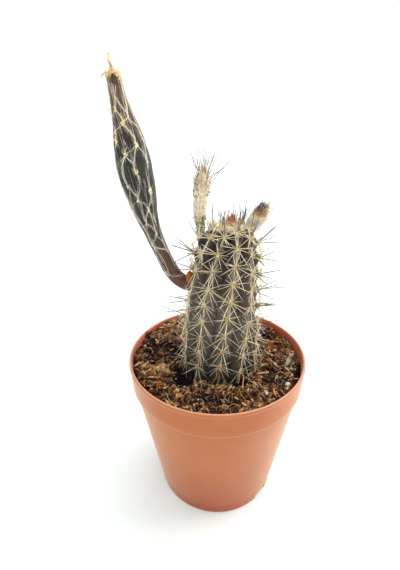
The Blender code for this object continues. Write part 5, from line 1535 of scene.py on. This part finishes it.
def make_tall_bud(frame):
    """The tall bud: a green scaly foot with dark specks, cream wool, brown streaks and a fan of bristles."""
    rng = default_rng(49)
    core, run, scale = bud_core(frame)
    tone = np.interp(run, (0.0, 0.28, 0.42, 0.62, 0.8, 1.0), (0.2, 0.28, 0.7, 0.75, 0.5, 0.5)) + 0.14 * scale
    stops = ((0.0, "#3E3A22"), (0.15, "#7F7C42"), (0.3, "#B5B07A"), (0.45, "#DCCA9E"), (0.7, "#F0DFC2"),
             (1.0, "#F3ECDA"))
    coat = fibre("green_scaled_bud_tube", stops, roughness=0.8)
    body_piece("tall_bud_core", core, coat, "pale_wool", "tall_bud", tone=tone[None])
    wool, at = hairs(rng, frame, 1100, between=(0.24, 0.74), length=(1.2, 2.9), lean=(0.0, 0.22), curl=0.2)
    # Darker at the green foot and below the fan than in the middle.
    level = np.interp(at, (0.1, 0.3, 0.4, 0.55, 0.8), (0.5, 0.62, 0.84, 0.78, 0.58))[:, None]
    wool_tone = level + rng.uniform(-0.14, 0.1, (len(wool), 1))
    streak, _ = hairs(rng, frame, 130, between=(0.4, 0.82), length=(1.2, 3.0), lean=(0.02, 0.2), curl=0.12)
    streak_tone = rng.uniform(0.2, 0.45, (len(streak), 1))
    # The fan: bristles to BRISTLE_TIPS and a little beyond, as their thin ends fade from sight, and shorter
    # ones between.
    tips = np.array(BRISTLE_TIPS)
    middle = along_frame(frame, rng.uniform(0.68, 0.88, len(tips)))[0]
    root = middle + 0.22 * (tips - middle) * (1, 1, 0)
    beyond = np.full(len(tips), 1.18)
    bend = rng.normal(0, 0.3, root.shape) * (1, 1, 0)
    long_fan = spine_paths(root, tips - root, beyond, bend, HAIR_RINGS)
    short_fan, _ = hairs(rng, frame, 30, between=(0.66, 0.94), length=(3.0, 6.0),
                         lean=(0.15, 0.85), curl=0.3, bunch=0.7)
    long_tone = 0.3 + 0.6 * HAIR_SHARE + rng.uniform(-0.1, 0.1, (len(long_fan), 1))
    short_tone = 0.15 + 0.6 * HAIR_SHARE + rng.uniform(-0.2, 0.1, (len(short_fan), 1))
    bunch_of("tall_bud_bristles", [(long_fan, 0.12, 0.65, long_tone), (short_fan, 0.085, 0.5, short_tone)],
             fibre("grey_bristle", BRISTLE, roughness=0.5, glow=0.1), "pale_wool", "tall_bud")
    fine, _ = hairs(rng, frame, 120, between=(0.6, 0.98), length=(2.0, 4.6), lean=(0.05, 0.45), curl=0.3)
    fine_tone = rng.uniform(0.5, 0.95, (len(fine), 1))
    low, _ = hairs(rng, frame, 60, between=(0.25, 0.7), length=(2.4, 4.0), lean=(0.15, 0.35), curl=0.25)
    low_tone = rng.uniform(0.7, 1.0, (len(low), 1))
    groups = [(wool, 0.073, 0.3, wool_tone), (streak, 0.078, 0.3, streak_tone),
              (fine, 0.035, 0.3, fine_tone), (low, 0.04, 0.3, low_tone)]
    stops = ((0.0, "#4C3F36"), (0.2, "#9A7C66"), (0.4, "#D6B08A"), (0.6, "#F6E0BC"), (0.8, "#FCEFD8"),
             (1.0, "#FDF8EE"))
    coat = fibre("dry_bud_wool", stops, roughness=0.8, glow=0.4)
    bunch_of("tall_bud_wool", groups, coat, "pale_wool", "tall_bud")
    # Dark scale tips, thick in the green foot and sparse above.
    count = 110
    at_foot = rng.uniform(0, 1, count) < 0.6
    run = np.where(at_foot, rng.uniform(0.04, 0.34, count), rng.uniform(0.6, 0.97, count))
    spot = on_tube(frame, rng.uniform(0, 1, count), run, extra=0.12)
    sizes = rng.uniform(0.1, 0.2, (count, 3)) * (1, 1, 2.4)
    scales = grains(rng, spot, sizes, tilt=0.3)
    coat = fibre("dark_scale_tips", ((0.0, "#3B322E"), (0.18, "#6E5440"), (0.36, "#A8845C")), roughness=0.8)
    body_piece("tall_bud_scales", scales, coat, "pale_wool", "tall_bud", tone=rng.uniform(0.0, 0.2, count))


def make_short_bud(frame):
    """The short bud: cream wool and a pale skirt at its base, tan orange wool in the middle, a blunt grey
    and lilac brush for a tip, and long pale hairs at the right."""
    rng = default_rng(50)
    core, run, scale = bud_core(frame, relief=0.06)
    levels = (0.0, 0.3, 0.45, 0.6, 0.72, 1.0)
    tone = np.interp(run, levels, (0.95, 0.92, 0.82, 0.42, 0.06, 0.02)) + 0.06 * scale
    stops = ((0.0, "#463C42"), (0.13, "#74666C"), (0.22, "#947058"), (0.38, "#CE995E"), (0.52, "#EFCB96"),
             (0.7, "#F6E8CE"), (1.0, "#FCF8EE"))
    coat = fibre("tan_and_grey_bud_wool", stops, roughness=0.85, glow=0.25)
    body_piece("short_bud_core", core, coat, "grey_tan_wool", "short_bud", tone=tone[None])
    wool, at = hairs(rng, frame, 520, between=(0.03, 0.66), length=(1.3, 2.4), lean=(0.0, 0.26), curl=0.16)
    ahead = clipped(at[:, None] + 0.2 * HAIR_SHARE)
    wool_tone = np.interp(ahead, levels, (0.97, 0.95, 0.86, 0.52, 0.2, 0.06))
    wool_tone = wool_tone + rng.uniform(-0.08, 0.1, (len(wool), 1))
    skirt, _ = hairs(rng, frame, 320, between=(0.0, 0.4), length=(1.1, 2.4), lean=(0.1, 0.7), curl=0.2)
    skirt_tone = rng.uniform(0.82, 1.0, (len(skirt), 1))
    # The tip is a blunt brush of grey and lilac bristles with pale ones between.
    brush, _ = hairs(rng, frame, 190, between=(0.52, 0.86), length=(1.2, 2.3), lean=(-0.1, 0.12), curl=0.1)
    pale = rng.uniform(0, 1, (len(brush), 1)) < 0.3
    brush_tone = np.where(pale, rng.uniform(0.3, 0.5, pale.shape), rng.uniform(0.0, 0.16, pale.shape))
    long_hairs, _ = hairs(rng, frame, 64, between=(0.25, 0.95), length=(3.0, 5.2),
                          lean=(0.2, 0.7), curl=0.35, turns=(0.35, 0.65))
    long_tone = rng.uniform(0.3, 0.8, (len(long_hairs), 1))
    edge, _ = hairs(rng, frame, 60, between=(0.5, 0.9), length=(1.4, 2.4), lean=(0.1, 0.45), curl=0.25)
    edge_tone = rng.uniform(0.5, 1.0, (len(edge), 1))
    groups = [(wool, 0.082, 0.3, wool_tone), (skirt, 0.066, 0.3, skirt_tone),
              (brush, 0.088, 0.5, brush_tone), (long_hairs, 0.05, 0.5, long_tone),
              (edge, 0.035, 0.3, edge_tone)]
    bunch_of("short_bud_wool", groups, coat, "grey_tan_wool", "short_bud")


def make_apex_bud(frame):
    """The crown's youngest tuft: rust-brown spines packed upright, with cream ones round them."""
    rng = default_rng(52)
    core, _, scale = bud_core(frame, columns=30, rows=24, relief=0.05)
    stops = ((0.0, "#6E3C22"), (0.35, "#B8703C"), (0.6, "#DBA266"), (0.8, "#F0D4A0"), (1.0, "#F8EED4"))
    coat = fibre("rust_young_spines", stops, roughness=0.55, glow=0.15)
    tone = 0.35 + 0.1 * scale
    body_piece("apex_bud_core", core, coat, "rust_spines", "apex_bud", tone=tone[None])
    rust, _ = hairs(rng, frame, 46, between=(0.05, 0.8), length=(1.0, 2.2), lean=(0.0, 0.24), curl=0.1)
    rust_tone = 0.5 - 0.35 * HAIR_SHARE + rng.uniform(-0.12, 0.2, (len(rust), 1))
    pale, _ = hairs(rng, frame, 60, between=(0.0, 0.4), length=(1.2, 2.4), lean=(0.2, 0.9), curl=0.12)
    pale_tone = rng.uniform(0.7, 1.0, (len(pale), 1)) - 0.1 * HAIR_SHARE
    groups = [(rust, 0.085, 0.2, rust_tone), (pale, 0.07, 0.25, pale_tone)]
    bunch_of("apex_bud_spines", groups, coat, "rust_spines", "apex_bud")


def make_knob():
    """The corky button: a ball drawn up to KNOB_SIZE, with growth rings and low dents."""
    columns, rows = 64, 40
    turn = all_round(columns)
    lift = math.pi * (np.linspace(0, 1, rows + 2)[1:-1] - 0.5)[:, None]
    growth = 0.02 * np.sin(9 * lift + 2 * np.sin(turn))
    rough = 1 + growth + 0.03 * waves(3 * turn, 3 * lift + 0 * turn, seed=61, size=2.0)
    angle = math.atan2(KNOB_PLACE[1], KNOB_PLACE[0] - float(stem_axis_x(KNOB_PLACE[2])))
    spin = turned_about(np.array([(0.0, 0.0, 1.0)]), np.array([angle]))[0]
    rings = (on_ball(lift, turn) * rough[..., None] * KNOB_SIZE) @ spin.T + KNOB_PLACE
    ends = (np.array([(0, 0, -KNOB_SIZE[2]), (0, 0, KNOB_SIZE[2])]) @ spin.T + KNOB_PLACE)[None]
    body_piece("cork_knob", (rings[None], ends), cork_finish(), "cork", "corky_knob")


def make_sliver():
    """The dry sliver: a thin pointed blade, curled up across, bowed along as one wave, with a pale rib."""
    low, high = (np.array(end) for end in SLIVER_ENDS)
    columns, rows = 28, 40
    t = np.linspace(0.02, 0.98, rows)[:, None]
    angle = all_round(columns)
    along = unit(high - low)
    broad = unit(np.cross((0.0, 0.0, 1.0), along))
    up = np.cross(along, broad)
    half = 0.72 * np.sin(math.pi * t**0.85) ** 0.6 * (1 + 0.06 * np.sin(23 * t))
    across = half * np.cos(angle)
    thick = 0.2 * np.sin(angle) * np.sqrt(half) + 0.42 * (across / 0.85) ** 2 * np.sin(math.pi * t)
    bow = 0.12 * np.sin(math.tau * t)
    rings = low + (high - low) * t[..., None] + broad * across[..., None] + up * (thick + bow)[..., None]
    blade = rings[None], np.stack([low, high])[None]
    rib = np.exp(-((across / 0.14) ** 2)) * 0.35 + 0.3 + 0.35 * np.abs(across) / 0.85
    body_piece("leaf_sliver", blade, dry_leaf(), "dry_leaf", "dry_sliver", tone=rib[None])


def set_down(made, place, right, up):
    """Links a lamp or a camera at place, in millimetres, with its own right and up directions."""
    matrix = np.eye(4)
    matrix[:3, 0], matrix[:3, 1], matrix[:3, 2] = right, up, np.cross(right, up)
    matrix[:3, 3] = np.array(place) * MM
    made.matrix_world = Matrix(matrix.tolist())
    bpy.context.scene.collection.objects.link(made)


def soft_sun(name, strength, width, towards):
    """A broad far light: its strength, its width in degrees, and the direction from the pot towards it."""
    light = bpy.data.lights.new(name, "SUN")
    light.energy = strength
    light.angle = math.radians(width)
    back = unit(np.array(towards))
    right = unit(np.cross((0.0, 0.0, 1.0), back))
    set_down(bpy.data.objects.new(name, light), LAMP_FAR * back, right, np.cross(back, right))


def make_stage():
    """Pale floor, white surroundings, soft light from above and the right, and the photograph's camera."""
    mesh = bpy.data.meshes.new("floor")
    corners = np.array([(-1, -1, 0), (1, -1, 0), (1, 1, 0), (-1, 1, 0)]) * FLOOR_HALF * MM
    mesh.from_pydata(corners.tolist(), [], [(0, 1, 2, 3)])
    mesh.materials.append(matt_card())
    floor = bpy.data.objects.new("floor", mesh)
    bpy.context.scene.collection.objects.link(floor)
    world = bpy.data.worlds.new("white_surroundings")
    world.use_nodes = True
    world.node_tree.nodes["Background"].inputs["Color"].default_value = linear("#FCFDFC")
    world.node_tree.nodes["Background"].inputs["Strength"].default_value = 1.07
    bpy.context.scene.world = world
    soft_sun("key", strength=0.78, width=50.0, towards=(0.3, 0.3, 0.9))
    soft_sun("side", strength=1.8, width=40.0, towards=(0.87, 0.28, 0.34))
    camera = bpy.data.cameras.new("camera")
    camera.sensor_fit = "AUTO"
    camera.sensor_width = SENSOR
    camera.lens = FOCAL_PIXELS * SENSOR / PHOTO_HEIGHT
    camera.clip_start, camera.clip_end = 0.005, 20.0
    made = bpy.data.objects.new("camera", camera)
    set_down(made, CAMERA_PLACE, CAMERA_RIGHT, CAMERA_UP)
    bpy.context.scene.camera = made
    bpy.context.scene.view_settings.view_transform = "Standard"


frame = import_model()
pod_frame, tall_frame = tube_frame(POD_LINE), tube_frame(TALL_BUD_LINE)
short_frame, apex_frame = tube_frame(SHORT_BUD_LINE), tube_frame(APEX_BUD_LINE)
bud_beads = [beads_of(line_frame, SPINE_GAP) for line_frame in (pod_frame, tall_frame, short_frame)]
bud_beads = np.vstack([*bud_beads, KNOB_BEADS])
make_pot()
make_bed()
make_crumbs()
make_flakes()
make_fibres()
make_roots()
make_grit()
make_stem()
make_felt()
make_spines(np.vstack([bud_beads, beads_of(apex_frame)]))
make_crown(bud_beads)
net = net_of_pod(default_rng(58))
make_pod(pod_frame, net)
make_pod_net(pod_frame, net)
make_pod_hairs(pod_frame, net)
make_mouth(pod_frame)
make_tall_bud(tall_frame)
make_short_bud(short_frame)
make_apex_bud(apex_frame)
make_knob()
make_sliver()
make_stage()
